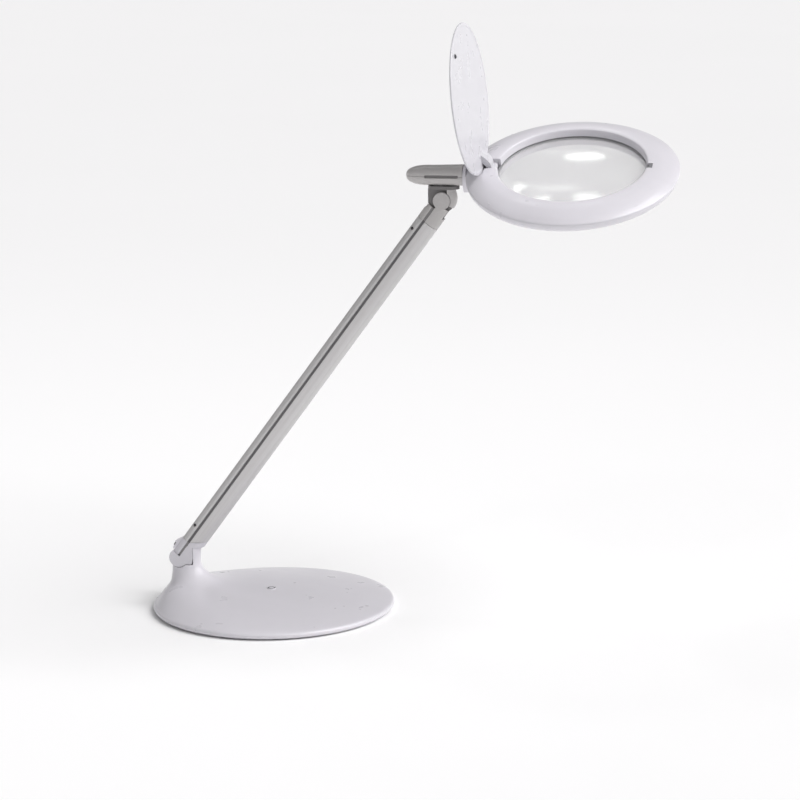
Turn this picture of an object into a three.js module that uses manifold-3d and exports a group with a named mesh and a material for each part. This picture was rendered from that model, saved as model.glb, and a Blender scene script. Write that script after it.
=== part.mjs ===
// Desk magnifying lamp: a domed round base with a neck, a tilting arm, an elbow post with a
// swivelling link, and a round lens head that twists about the link and carries a flip-up cover.
// Millimetres, +Z up. The origin is the centre of the base on the table, +X is forward (from the
// neck to the head) and the arm moves in the XZ plane.
import * as THREE from 'three';
import { mergeVertices } from 'three/addons/utils/BufferGeometryUtils.js';
import Module from 'manifold-3d';

const wasm = await Module();
wasm.setup();

// ---------------------------------------------------------------- driving dimensions
const GAP = 0.3; // clearance between touching pieces
const RAD = Math.PI / 180;

const BASE = { radius: 106.6, flatRadius: 104, rimTop: 6.6, bottom: 1.5, wall: 2.6, cavity: 101.4 };
const PAD = { radius: 98, height: 1.2 };
const PLATE = { radius: 100.5, thickness: 1 };
const BASE_SCREWS = { circle: 70, head: 2.1, shank: 1.6, hole: 2.4, top: 5.1 };
const NECK = {
  x: -79.5, halfDepth: 12.6, halfWidth: 8.6, domeRise: 15, throatRise: 14, throatPower: 18, top: 51.6,
};
const BUTTON = { x: -2, radius: 4.2, top: 16.9, flange: 5.6, flangeLow: 11.8, flangeHigh: 12.9 };
const INLET = {
  axisZ: 6.9, opening: 3.8, barrel: 3.5, bore: 2.8, pin: 0.9, from: -101.5, body: -95.6, to: -84.5,
};

// The arm's middle line passes through (x, z); both pivots lie a little behind it.
const ARM = { x: -84.18, z: 39.61, angle: 53.41, halfDepth: 10, halfWidth: 7.1, wall: 1.5 };
const GROOVE = { front: -2.1, rear: -4.3, halfWidth: 5.2 }; // depths across the arm, front is positive
const ARM_ENDS = { capFrom: 3.2, capTo: 18.7, channelFrom: 19, channelTo: 381, tenonLow: 48, tenonHigh: 352 };
const SIDE_SCREWS = { low: 35.3, high: 370, z: 7.8, head: 1.3, shank: 0.8 };
const DRAG_SCREW = { along: 8.2, seat: 12.2, head: 2, shank: 1.2 };
const CABLE = { radius: 1.8, bore: 2.3, z: -3 };

const LOWER = {
  x: -85.1, z: 42.3, knuckle: 8.4, tongue: 7.8, halfTongue: 2.6, halfSlot: 3.8, slot: 9, washer: 6.6,
};
// The neck's front wall, measured from the lower pivot, and the fitting's collar that rests above it.
const STOP = { rearFace: 13.5, reach: 13.1, top: NECK.top - LOWER.z, notch: -5.9, collar: 4.6 };

const UPPER = { x: 156.08, z: 365.16, knuckle: 7.5, halfTongue: 3.2, halfSlot: 4.4, slot: 16.2, washer: 6.9 };
const POST = {
  rear: 12.2, nose: 14.4, blockLow: 9.7, blockTop: 12.4, halfWidth: 7.2, spindle: 4.6, bore: 2.4,
  tongue: 10.6, flangeRear: 4.9, flangeInner: 7.9, flangeEnd: -34,
};
const PIVOT = { bolt: 2.5, hole: 2.8, head: 3.6 };

const LINK = {
  rear: 124.8, front: 174.4, axisZ: 386.4, halfHeight: 8.5, frontRise: 0.8, halfWidth: 9.5, wall: 2.2,
  roundLength: 19, seam: 386, screwX: 137,
};
const LINK_GROOVE = { from: 141.7, to: 171, halfHeight: 1.3, depth: 1 };
const SPIGOT = { radius: 4.4, bore: 2.6, from: 163.4 };
const RETAINER = { radius: 6, from: 164.4, to: 167.4 };

const HEAD = { x: 267.1, roll: 21.1, lift: 4.2, radius: 89.7, rimTop: 8 };
const HEAD_SCREWS = { circle: 83.6, boss: 2.7, wall: 4.4, head: 2.1, pilot: 1.3 };
const LENS = { radius: 63.5, edge: 3, rise: 5.7 };
const HINGE = { x: -67.2, z: 1.7, pin: 1.5, eye: 3, halfWidth: 7.6 };
const COVER = { radius: 63.5, thickness: 1.8, openAngle: 96.6, chord: 61.6 };
const BUMPER = { x: 49.4, y: -20, radius: 1.8 };

// ---------------------------------------------------------------- finishes
const finish = (color, roughness, metalness) => () =>
  new THREE.MeshStandardMaterial({ color, roughness, metalness });
const whitePlastic = finish(0xe6e5ea, 0.35, 0);
const satinSilver = finish(0xa8a4a3, 0.4, 0.7);
const aluminium = finish(0xb4b0b0, 0.35, 0.9);
const darkSteel = finish(0x3a3a3c, 0.4, 0.8);
const steel = finish(0xb8b8ba, 0.3, 1);
const castIron = finish(0x4a4a4c, 0.7, 0.6);
const blackRubber = finish(0x232325, 0.9, 0);
const greyNylon = finish(0xc9c9c6, 0.6, 0);
const boardGreen = finish(0x2f6b48, 0.6, 0);
const opalPlastic = finish(0xf2f2ee, 0.5, 0);
const clearGlass = finish(0xe4ecec, 0.05, 0);

// ---------------------------------------------------------------- geometry helpers
const points2 = (list) => list.map(([a, b]) => new THREE.Vector2(a, b));
const shapeOf = (list) => new THREE.Shape(points2(list));

function remap(geometry, rows) {
  return geometry.applyMatrix4(new THREE.Matrix4().set(...rows.flat(), 0, 0, 0, 1));
}

function extrude(shape, depth, curveSegments = 12) {
  return new THREE.ExtrudeGeometry(shape, { depth, bevelEnabled: false, curveSegments });
}

// A shape drawn in (y, z), (x, z) or (x, y), swept along the remaining axis between two places.
function alongX(shape, from, to) {
  return remap(extrude(shape, to - from), [[0, 0, 1, from], [1, 0, 0, 0], [0, 1, 0, 0]]);
}

function alongY(shape, from, to) {
  return remap(extrude(shape, to - from), [[1, 0, 0, 0], [0, 0, -1, to], [0, 1, 0, 0]]);
}

function alongZ(shape, from, to) {
  return extrude(shape, to - from).translate(0, 0, from);
}

function rod(axis, radius, from, to, [a, b] = [0, 0], sides = 16) {
  const cylinder = new THREE.CylinderGeometry(radius, radius, to - from, sides);
  cylinder.translate(0, (from + to) / 2, 0);
  if (axis === 'x') return cylinder.rotateZ(-Math.PI / 2).translate(0, a, b);
  if (axis === 'y') return cylinder.translate(a, 0, b);
  return cylinder.rotateX(Math.PI / 2).translate(a, b, 0);
}

function box([x0, y0, z0], [x1, y1, z1]) {
  const block = new THREE.BoxGeometry(x1 - x0, y1 - y0, z1 - z0);
  return block.translate((x0 + x1) / 2, (y0 + y1) / 2, (z0 + z1) / 2);
}

// A body of revolution about Z from a closed (radius, height) outline.
function turned(outline, sides = 32) {
  return new THREE.LatheGeometry(points2([...outline, outline[0]]), sides).rotateX(Math.PI / 2);
}

function ring(inner, outer, low, high, sides = 32) {
  return turned([[inner, low], [outer, low], [outer, high], [inner, high]], sides);
}

function disc(radius, low, high, sides = 32) {
  return rod('z', radius, low, high, [0, 0], sides);
}

// A closed skin over a row of equal point rings, with a flat fan on each end.
function loft(rings) {
  const count = rings[0].length;
  const position = rings.flat(2);
  const index = [];
  for (let row = 0; row < rings.length - 1; row += 1) {
    for (let k = 0; k < count; k += 1) {
      const next = (k + 1) % count;
      const [a, b] = [row * count + k, row * count + next];
      index.push(a, b, b + count, a, b + count, a + count);
    }
  }
  for (const [row, flip] of [[0, true], [rings.length - 1, false]]) {
    const first = row * count;
    for (let k = 1; k < count - 1; k += 1) {
      index.push(first, ...(flip ? [first + k + 1, first + k] : [first + k, first + k + 1]));
    }
  }
  const geometry = new THREE.BufferGeometry();
  geometry.setAttribute('position', new THREE.Float32BufferAttribute(position, 3));
  geometry.setIndex(index);
  return geometry;
}

function merged(geometry) {
  const bare = geometry.clone();
  for (const name of ['normal', 'uv']) bare.deleteAttribute(name);
  return mergeVertices(bare, 1e-4);
}

function signedVolume(geometry) {
  const [a, b, c] = [new THREE.Vector3(), new THREE.Vector3(), new THREE.Vector3()];
  const { position } = geometry.attributes;
  let sum = 0;
  for (let k = 0; k < geometry.index.count; k += 3) {
    a.fromBufferAttribute(position, geometry.index.getX(k));
    b.fromBufferAttribute(position, geometry.index.getX(k + 1));
    c.fromBufferAttribute(position, geometry.index.getX(k + 2));
    sum += a.dot(b.cross(c));
  }
  return sum;
}

// The closed solid of a geometry, with its faces turned outwards.
function solid(geometry) {
  const closed = merged(geometry);
  const triVerts = Uint32Array.from(closed.index.array);
  if (signedVolume(closed) < 0) {
    for (let k = 0; k < triVerts.length; k += 3) {
      [triVerts[k], triVerts[k + 1]] = [triVerts[k + 1], triVerts[k]];
    }
  }
  const vertProperties = Float32Array.from(closed.attributes.position.array);
  return new wasm.Manifold(new wasm.Mesh({ numProp: 3, vertProperties, triVerts }));
}

const toSolid = (piece) => (piece.isBufferGeometry ? solid(piece) : piece);
const join = (...pieces) => pieces.map(toSolid).reduce((all, piece) => all.add(piece));
const cut = (body, ...tools) => tools.map(toSolid).reduce((rest, tool) => rest.subtract(tool), toSolid(body));
const common = (body, tool) => toSolid(body).intersect(toSolid(tool));

function node(name, piece, material) {
  const { vertProperties, triVerts, numProp } = toSolid(piece).getMesh();
  const position = new Float32Array((vertProperties.length / numProp) * 3);
  for (let k = 0; k < position.length; k += 1) {
    position[k] = vertProperties[Math.floor(k / 3) * numProp + (k % 3)];
  }
  const geometry = new THREE.BufferGeometry();
  geometry.setAttribute('position', new THREE.BufferAttribute(position, 3));
  geometry.setIndex(new THREE.BufferAttribute(Uint32Array.from(triVerts), 1));
  geometry.computeVertexNormals();
  const mesh = new THREE.Mesh(geometry, material());
  mesh.name = name;
  return mesh;
}

const bulge = (value) => Math.sign(value) * Math.abs(value) ** 0.8;

// A ring of points in (y, z) at x, between a circle and a rounded rectangle; the upper half may be taller.
function pebble(x, halfWidth, low, centre, high = low, sides = 24) {
  return Array.from({ length: sides }, (_, k) => {
    const turn = (2 * Math.PI * k) / sides;
    const height = Math.sin(turn) > 0 ? high : low;
    return [x, halfWidth * bulge(Math.cos(turn)), centre + height * bulge(Math.sin(turn))];
  });
}

// The two places of a span and its mirror image, in rising order.
const onSide = (side, from, to) => [side * from, side * to].sort((a, b) => a - b);

function ellipse(cx, a, b, z, sides = 32) {
  return Array.from({ length: sides }, (_, k) => {
    const turn = (2 * Math.PI * k) / sides;
    return [cx + a * Math.cos(turn), b * Math.sin(turn), z];
  });
}

// ---------------------------------------------------------------- base
// The base skin is a stack of circles that shrink and slide from the rim (share 0) to the neck
// (share 1), so that it is steep behind the neck and sweeps out long and low in front of it.
function baseLevel(share) {
  const radius = BASE.flatRadius + (NECK.halfDepth - BASE.flatRadius) * share;
  return {
    x: NECK.x * share,
    halfDepth: radius,
    halfWidth: radius - (NECK.halfDepth - NECK.halfWidth) * share ** 6,
    z: BASE.rimTop + NECK.domeRise * share ** 0.9 + NECK.throatRise * share ** NECK.throatPower,
  };
}

function baseCover() {
  const shares = [0, 0.06, 0.2, 0.38, 0.56, 0.72, 0.84, 0.92, 0.96, 0.985, 1];
  const rim = [[104.6, BASE.bottom], [106, 2.8], [BASE.radius, 4.3], [105.9, 5.8]];
  const skin = rim.map(([radius, z]) => ellipse(0, radius, radius, z));
  for (const share of shares) {
    const level = baseLevel(share);
    skin.push(ellipse(level.x, level.halfDepth, level.halfWidth, level.z));
  }
  skin.push(ellipse(-79.3, 12.9, 8.6, 45), ellipse(-79, 13.6, 8.6, NECK.top));

  const cavity = [ellipse(0, BASE.cavity, BASE.cavity, -1)];
  for (const share of shares.filter((value) => value < 0.95)) {
    const level = baseLevel(share);
    const { x, halfDepth, halfWidth, z } = level;
    cavity.push(ellipse(x, halfDepth - BASE.wall, halfWidth - BASE.wall, z - BASE.wall));
  }

  const pivot = [LOWER.x, LOWER.z];
  const [wall, wide, above] = [LOWER.x + STOP.rearFace, 15, NECK.top + 5];
  const seat = rod('y', LOWER.knuckle + 0.4, -wide, wide, pivot, 40);
  const aboveSeat = box([-120, -wide, LOWER.z], [wall, wide, above]);
  const rearOpen = box([-120, -wide, LOWER.z - 7], [LOWER.x, wide, above]);
  const notch = box([LOWER.x + 5, -wide, LOWER.z + STOP.notch], [wall, wide, LOWER.z + 1]);
  const tongue = join(
    rod('y', LOWER.tongue, -LOWER.halfTongue, LOWER.halfTongue, pivot, 32),
    box([LOWER.x - 6, -LOWER.halfTongue, 27], [LOWER.x + 6, LOWER.halfTongue, LOWER.z - 4]),
  );
  const pinBore = rod('y', PIVOT.bolt + 0.1, -wide, wide, pivot);
  const buttonHole = rod('z', BUTTON.radius + GAP, 5, 30, [BUTTON.x, 0]);
  const inlet = rod('x', INLET.opening, -115, -92, [0, INLET.axisZ]);
  const shell = cut(loft(skin), loft(cavity), seat, aboveSeat, rearOpen, notch);
  return cut(join(shell, tongue), pinBore, buttonHole, inlet);
}

function baseWeight() {
  const low = BASE.bottom + PLATE.thickness + GAP;
  const outline = [
    [12, low], [94, low], [94, 4.2], [84, 5.3], [60, 8], [34, 10.2], [15.4, 10.2], [15.4, 7.6], [12, 7.6],
  ];
  return cut(turned(outline), box([-110, -6.5, 0], [-83, 6.5, 12]));
}

function buildBase() {
  const base = new THREE.Group();
  base.add(node('base_cover', baseCover(), whitePlastic));
  base.add(node('base_pad', disc(PAD.radius, 0, PAD.height), blackRubber));

  const { circle, head, shank, hole, top } = BASE_SCREWS;
  const screwPlaces = [60, 180, 300]
    .map((turn) => [circle * Math.cos(turn * RAD), circle * Math.sin(turn * RAD)]);
  const plateTop = BASE.bottom + PLATE.thickness;
  const plate = disc(PLATE.radius, BASE.bottom, plateTop);
  base.add(node('base_plate', cut(plate, ...screwPlaces.map((at) => rod('z', hole, 0, 4, at))), steel));
  const pilots = screwPlaces.map((at) => rod('z', shank + GAP, 0, top + GAP, at, 12));
  base.add(node('base_weight', cut(baseWeight(), ...pilots), castIron));
  screwPlaces.forEach((at, k) => {
    const screw = join(rod('z', head, BASE.bottom + 0.1, plateTop, at, 12), rod('z', shank, 2, top, at, 12));
    base.add(node(`base_screw_${k + 1}`, screw, darkSteel));
  });

  const board = join(disc(14.6, 7.9, 9.4, 32), box([-11, -4, 9.3], [-7, 4, 10.6]));
  base.add(node('switch_board', board, boardGreen));
  const dome = rod('z', 3.4, 9.7, BUTTON.flangeLow - GAP, [BUTTON.x, 0], 16);
  base.add(node('button_dome', dome, greyNylon));

  const axis = [0, INLET.axisZ];
  const barrel = rod('x', INLET.barrel, INLET.from, -95, axis);
  const body = box([INLET.body, -4.6, 3], [INLET.to, 4.6, 11.4]);
  const socket = cut(join(barrel, body), rod('x', INLET.bore, -110, -90, axis));
  base.add(node('dc_socket', join(socket, rod('x', INLET.pin, INLET.from + 2, -89, axis, 12)), darkSteel));
  return base;
}

function buildButton() {
  const at = [BUTTON.x, 0];
  const stem = rod('z', BUTTON.radius, 12, BUTTON.top, at, 20);
  const flange = rod('z', BUTTON.flange, BUTTON.flangeLow, BUTTON.flangeHigh, at, 20);
  const recess = ring(2.6, 3.1, BUTTON.top - 0.4, BUTTON.top + 1, 20).translate(BUTTON.x, 0, 0);
  return node('power_button', cut(join(stem, flange), recess), whitePlastic);
}

// ---------------------------------------------------------------- arm
// Arm pieces are drawn with x along the arm and z across it towards the rear, so a depth d in front
// of the arm's middle lies at z = -d.
function armPoint({ x, z }) {
  const [dx, dz] = [x - ARM.x, z - ARM.z];
  const [c, s] = [Math.cos(ARM.angle * RAD), Math.sin(ARM.angle * RAD)];
  return [dx * c + dz * s, dz * c - dx * s];
}

const lowerPivot = armPoint(LOWER);
const upperPivot = armPoint(UPPER);

function frontHalfWidth(depth) {
  return ARM.halfWidth * Math.sqrt(1 - Math.abs(depth / ARM.halfDepth) ** 2.6);
}

function frontSection(inset) {
  const [low, high] = [GROOVE.front + inset, ARM.halfDepth - inset];
  const steps = 9;
  const side = Array.from({ length: steps }, (_, k) => {
    const depth = low + (high - low) * Math.sin((Math.PI / 2) * (k / steps));
    const reach = frontHalfWidth((depth * ARM.halfDepth) / high);
    return [reach * (1 - inset / ARM.halfWidth), -depth];
  });
  const other = side.map(([y, z]) => [-y, z]).reverse();
  return [...side, [0, -high], ...other];
}

function rearSection(inset = 0) {
  const wide = 6.5 - inset;
  const side = [
    [wide, -GROOVE.rear + inset], [wide - 0.4, 6.4], [wide - 2.1, 9.3 - inset],
    [wide - 2.9, ARM.halfDepth - inset],
  ];
  return [...side, ...side.map(([y, z]) => [-y, z]).reverse()];
}

// The rear section with the narrow web that forms the floor of the side grooves.
function rearProfile() {
  const outline = shapeOf(rearSection());
  const web = [[GROOVE.halfWidth, -GROOVE.front + GAP], [-GROOVE.halfWidth, -GROOVE.front + GAP]];
  const webTop = -GROOVE.rear + 0.5;
  const webShape = shapeOf([...web, [-GROOVE.halfWidth, webTop], [GROOVE.halfWidth, webTop]]);
  return { outline, webShape };
}

function rearBar(from, to) {
  const { outline, webShape } = rearProfile();
  return join(alongX(outline, from, to), alongX(webShape, from, to));
}

const channelHole = () => shapeOf([[-3.2, 3.6], [3.2, 3.6], [3.2, 8.4], [-3.2, 8.4]]);
const channelTenon = (from, to) => box([from, -2.9, 3.9], [to, 2.9, 8.1]);
const frontTenon = (from, to) => alongX(shapeOf(frontSection(ARM.wall + GAP)), from, to);
const cableBore = (from, to) => rod('x', CABLE.bore, from, to, [0, CABLE.z], 16);

// Turns a piece that is drawn level about the lower pivot into the arm's frame.
function levelled(piece) {
  const turn = new THREE.Matrix4().makeRotationY(ARM.angle * RAD);
  return piece.applyMatrix4(turn).translate(lowerPivot[0], 0, lowerPivot[1]);
}

const levelSlab = (rearFace, low, high) => levelled(box([rearFace, -20, low], [80, 20, high]));

function armFrontTube() {
  const bar = alongX(shapeOf(frontSection(0)), 4, ARM_ENDS.channelTo);
  const hollow = alongX(shapeOf(frontSection(ARM.wall)), -5, ARM_ENDS.channelTo + 5);
  const belowEnd = levelSlab(-60, -60, STOP.top + STOP.collar + 2 * GAP);
  return cut(bar, hollow, belowEnd);
}

// The holes of a side screw: a seat for its head and a bore for its shank.
function sideScrewHoles(along) {
  const at = [along, SIDE_SCREWS.z];
  return [
    rod('y', SIDE_SCREWS.head + GAP, -8, -4.1, at, 12), rod('y', SIDE_SCREWS.shank + GAP, -6, 0.4, at, 12),
  ];
}

function armRearChannel() {
  const bar = rearBar(ARM_ENDS.channelFrom, ARM_ENDS.channelTo);
  const holes = [SIDE_SCREWS.low, SIDE_SCREWS.high].flatMap(sideScrewHoles);
  return cut(bar, alongX(channelHole(), 0, 400), ...holes);
}

function sideScrew(along) {
  const at = [along, SIDE_SCREWS.z];
  return join(rod('y', SIDE_SCREWS.head, -5.1, -4.3, at, 12), rod('y', SIDE_SCREWS.shank, -4.4, 0, at, 12));
}

// The fork is drawn level about the pivot. Below the pivot it stays within the reach of the wall.
function lowerFitting() {
  const { knuckle, slot, halfSlot } = LOWER;
  const [low, near] = [STOP.notch + 0.4, STOP.rearFace - GAP];
  const front = [
    [Math.sqrt(knuckle ** 2 - low ** 2), low], [Math.sqrt(STOP.reach ** 2 - low ** 2), low], [12.5, -3.7],
    [near, -0.6], [near, STOP.top + 1.5], [8, STOP.top + 1.5], [-2, 8], [0, 0],
  ];
  const [halfCheek, seam] = [ARM.halfWidth - 0.1, -GROOVE.front + GAP / 2];
  const plates = levelled(plateY(front, halfCheek));
  const behindSeam = box([0, -20, seam], [80, 20, 40]);
  const knuckles = rod('y', knuckle, -halfCheek, halfCheek, lowerPivot, 40);
  const collarZone = levelSlab(-60, STOP.top + GAP, STOP.top + GAP + STOP.collar);
  const collar = common(alongX(shapeOf(frontSection(0)), 4, 40), collarZone);
  const cheeks = join(cut(plates, behindSeam), cut(knuckles, capRoom()));
  const neck = join(cheeks, collar, frontTenon(11, ARM_ENDS.tenonLow));
  const frontStop = levelSlab(STOP.rearFace - GAP, -60, STOP.top + GAP);
  const pivotSlot = rod('y', slot, -halfSlot, halfSlot, lowerPivot, 40);
  return cut(neck, pivotSlot, ...boltHoles(), frontStop, cableBore(11, 60));
}

const boltHoles = () => [
  rod('y', PIVOT.head + 0.8, 5.4, 12, lowerPivot),
  rod('y', PIVOT.hole, -5.6, 12, lowerPivot),
];

// The knuckle's upper rear part is left to the cap.
const capRoom = () => box([ARM_ENDS.capFrom, -20, -GROOVE.front + GAP / 2], [80, 20, 40]);

// A thick plate in (x, z) about y = 0.
function plateY(outline, halfThickness) {
  return alongY(shapeOf(outline), -halfThickness, halfThickness);
}

// The rear cap ends in a ramp. The drag screw on its steep side bears on the base's tongue.
function lowerRearCap() {
  const { along, seat, shank } = DRAG_SCREW;
  const body = rearBar(ARM_ENDS.capFrom + GAP, ARM_ENDS.capTo);
  const ramp = plateY([
    [ARM_ENDS.capTo, 8], [ARM_ENDS.capTo, ARM.halfDepth], [along + 3, 13.8], [along + 2.4, 13.8],
    [along + 2.4, seat],
    [along - 2.6, seat], [ARM_ENDS.capFrom + GAP, 10.2], [ARM_ENDS.capFrom + GAP, 8],
  ], 3.6);
  const cap = join(body, ramp, channelTenon(ARM_ENDS.channelFrom - 1, 44));
  const slot = rod('y', LOWER.slot, -LOWER.halfSlot, LOWER.halfSlot, lowerPivot, 40);
  const bore = rod('z', shank + GAP, 0, 16, [along, 0], 16);
  return cut(cap, slot, bore, ...boltHoles(), ...sideScrewHoles(SIDE_SCREWS.low));
}

function upperElbow() {
  const [along] = upperPivot;
  const cheek = rod('y', UPPER.knuckle, -ARM.halfWidth, ARM.halfWidth, upperPivot, 40);
  const bar = alongX(shapeOf(frontSection(0)), ARM_ENDS.channelTo + GAP, along - 4);
  const body = join(bar, cheek, frontTenon(ARM_ENDS.tenonHigh, ARM_ENDS.channelTo + 1));
  const capEnd = along - 8.2;
  const capZone = box([ARM_ENDS.channelTo, -20, -GROOVE.front + GAP / 2], [capEnd, 20, 20]);
  return cut(
    body,
    rod('y', UPPER.slot, -UPPER.halfSlot, UPPER.halfSlot, upperPivot, 40),
    rod('y', PIVOT.head + 0.3, 5.6, 12, upperPivot),
    rod('y', PIVOT.hole, -5.8, 12, upperPivot),
    capZone,
    cableBore(340, 398),
  );
}

function elbowRearCap() {
  const body = rearBar(ARM_ENDS.channelTo + GAP, upperPivot[0] - 9);
  const cap = join(body, channelTenon(ARM_ENDS.tenonHigh + 6, ARM_ENDS.channelTo + 1));
  const slot = rod('y', UPPER.slot, -UPPER.halfSlot, UPPER.halfSlot, upperPivot, 40);
  return cut(cap, slot, ...sideScrewHoles(SIDE_SCREWS.high));
}

function pivotBolt(at, from, to, headFrom) {
  return join(rod('y', PIVOT.bolt, from, to, at), rod('y', PIVOT.head, headFrom, to, at));
}

function pivotWasher(side, joint, at) {
  const [low, high] = onSide(side, joint.halfTongue + GAP, joint.halfSlot - GAP);
  return cut(rod('y', joint.washer, low, high, at), rod('y', PIVOT.hole, -9, 9, at));
}

function buildArm() {
  const arm = new THREE.Group();
  arm.position.set(ARM.x, 0, ARM.z);
  arm.rotation.y = -ARM.angle * RAD;
  arm.add(node('arm_front_tube', armFrontTube(), aluminium));
  arm.add(node('arm_rear_channel', armRearChannel(), aluminium));
  arm.add(node('lower_fitting', lowerFitting(), whitePlastic));
  arm.add(node('lower_rear_cap', lowerRearCap(), whitePlastic));
  const { along, seat, head, shank } = DRAG_SCREW;
  const dragScrew = join(
    rod('z', head, seat + 0.1, seat + 1.2, [along, 0], 12),
    rod('z', shank, 8.5, seat + 0.2, [along, 0], 12),
  );
  arm.add(node('rear_cap_screw', dragScrew, darkSteel));
  arm.add(node('upper_elbow', upperElbow(), satinSilver));
  arm.add(node('elbow_rear_cap', elbowRearCap(), satinSilver));
  arm.add(node('channel_screw_low', sideScrew(SIDE_SCREWS.low), darkSteel));
  arm.add(node('channel_screw_high', sideScrew(SIDE_SCREWS.high), darkSteel));
  arm.add(node('arm_cable', rod('x', CABLE.radius, 26, 386, [0, CABLE.z], 8), blackRubber));
  arm.add(node('lower_pivot_bolt', pivotBolt(lowerPivot, -5.3, 6.8, 5.7), darkSteel));
  arm.add(node('elbow_pin', pivotBolt(upperPivot, -5.5, 6.9, 5.9), darkSteel));
  for (const [name, side] of [['near', -1], ['far', 1]]) {
    arm.add(node(`lower_washer_${name}`, pivotWasher(side, LOWER, lowerPivot), greyNylon));
    arm.add(node(`elbow_washer_${name}`, pivotWasher(side, UPPER, upperPivot), greyNylon));
  }
  return arm;
}

// ---------------------------------------------------------------- elbow post
// A full-width flange in front of the elbow's cheeks: half ovals from its lower end to the nose.
function postFlange() {
  const { flangeRear, flangeInner, flangeEnd, halfWidth, blockLow } = POST;
  const fronts = [
    [-7.2, 9.4], [-5.2, 10.7], [-2.6, 11.8], [0, 12.4], [2.4, 12.6], [5, 12.2], [8, 11.4], [blockLow + 0.4, 11.4],
  ];
  const skin = loft(fronts.map(([z, front]) => Array.from({ length: 17 }, (_, k) => {
    const turn = (k / 16 - 0.5) * Math.PI;
    return [flangeRear + (front - flangeRear) * Math.cos(turn), halfWidth * Math.sin(turn), z];
  })));
  const inner = rod('y', flangeInner, -9, 9, [0, 0], 40);
  const below = box([0, -9, -20], [20, 9, 0]).rotateY(-flangeEnd * RAD);
  return cut(skin, inner, below);
}

function swivelPost() {
  const { rear, nose, halfWidth, blockLow, blockTop, tongue, flangeEnd, spindle, bore } = POST;
  const side = new THREE.Shape();
  side.moveTo(-rear, blockLow + 0.5);
  side.lineTo(-rear, -2);
  side.absarc(0, 0, tongue, 205 * RAD, (360 + flangeEnd) * RAD, false);
  side.lineTo(10.4, 0);
  side.lineTo(10.4, blockLow + 0.5);
  const web = alongY(side, -UPPER.halfTongue, UPPER.halfTongue);

  const plan = new THREE.Shape();
  plan.moveTo(-rear + 5, -halfWidth);
  plan.lineTo(nose - halfWidth, -halfWidth);
  plan.absarc(nose - halfWidth, 0, halfWidth, -Math.PI / 2, Math.PI / 2, false);
  plan.lineTo(-rear + 5, halfWidth);
  plan.quadraticCurveTo(-rear, halfWidth, -rear, 2);
  plan.lineTo(-rear, -2);
  plan.quadraticCurveTo(-rear, -halfWidth, -rear + 5, -halfWidth);
  const top = alongZ(plan, blockLow, blockTop);
  const spindleTop = LINK.axisZ - UPPER.z + 1.6;
  const stud = rod('z', spindle, blockTop - 1, spindleTop);
  const wireBore = rod('z', bore, 9, spindleTop + 1, [0, 0], 16);
  return cut(join(web, postFlange(), top, stud), rod('y', PIVOT.bolt + 0.2, -9, 9), wireBore);
}

function buildPost() {
  const post = new THREE.Group();
  post.position.set(UPPER.x, 0, UPPER.z);
  post.add(node('swivel_post', swivelPost(), satinSilver));
  const floorTop = LINK.axisZ - LINK.halfHeight + LINK.wall - UPPER.z;
  const nutBlank = rod('z', 6, floorTop + 1.4, floorTop + 4.4, [0, 0], 6);
  const nut = cut(nutBlank, rod('z', POST.spindle + GAP, 0, 40));
  post.add(node('swivel_nut', nut, steel));
  const washer = cut(rod('z', 6.2, floorTop + 0.3, floorTop + 1.1), rod('z', POST.spindle + GAP, 0, 40));
  post.add(node('swivel_washer', washer, greyNylon));
  return post;
}

// ---------------------------------------------------------------- link
// The link is a smooth bar with a blunt rounded rear end and a top that rises a little towards the
// front; inset gives the inner skin.
function linkBody(inset, from, to = LINK.front) {
  const shares = from === undefined ? [0.06, 0.25, 0.5, 0.75, 1] : [];
  const rounded = shares.map((share) => {
    const turn = (share * Math.PI) / 2;
    return [LINK.rear + LINK.roundLength * (1 - Math.cos(turn)) ** 1.15, Math.sin(turn) ** 0.9];
  });
  const start = from ?? LINK.rear + LINK.roundLength + 4;
  const rows = [...rounded, [start, 1], [to, 1]];
  return loft(rows.map(([x, size]) => {
    const rise = LINK.frontRise * Math.max(0, (x - start) / (LINK.front - start));
    const low = (LINK.halfHeight - inset) * size;
    return pebble(x, (LINK.halfWidth - inset) * size, low, LINK.axisZ, low + rise);
  }));
}

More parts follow.
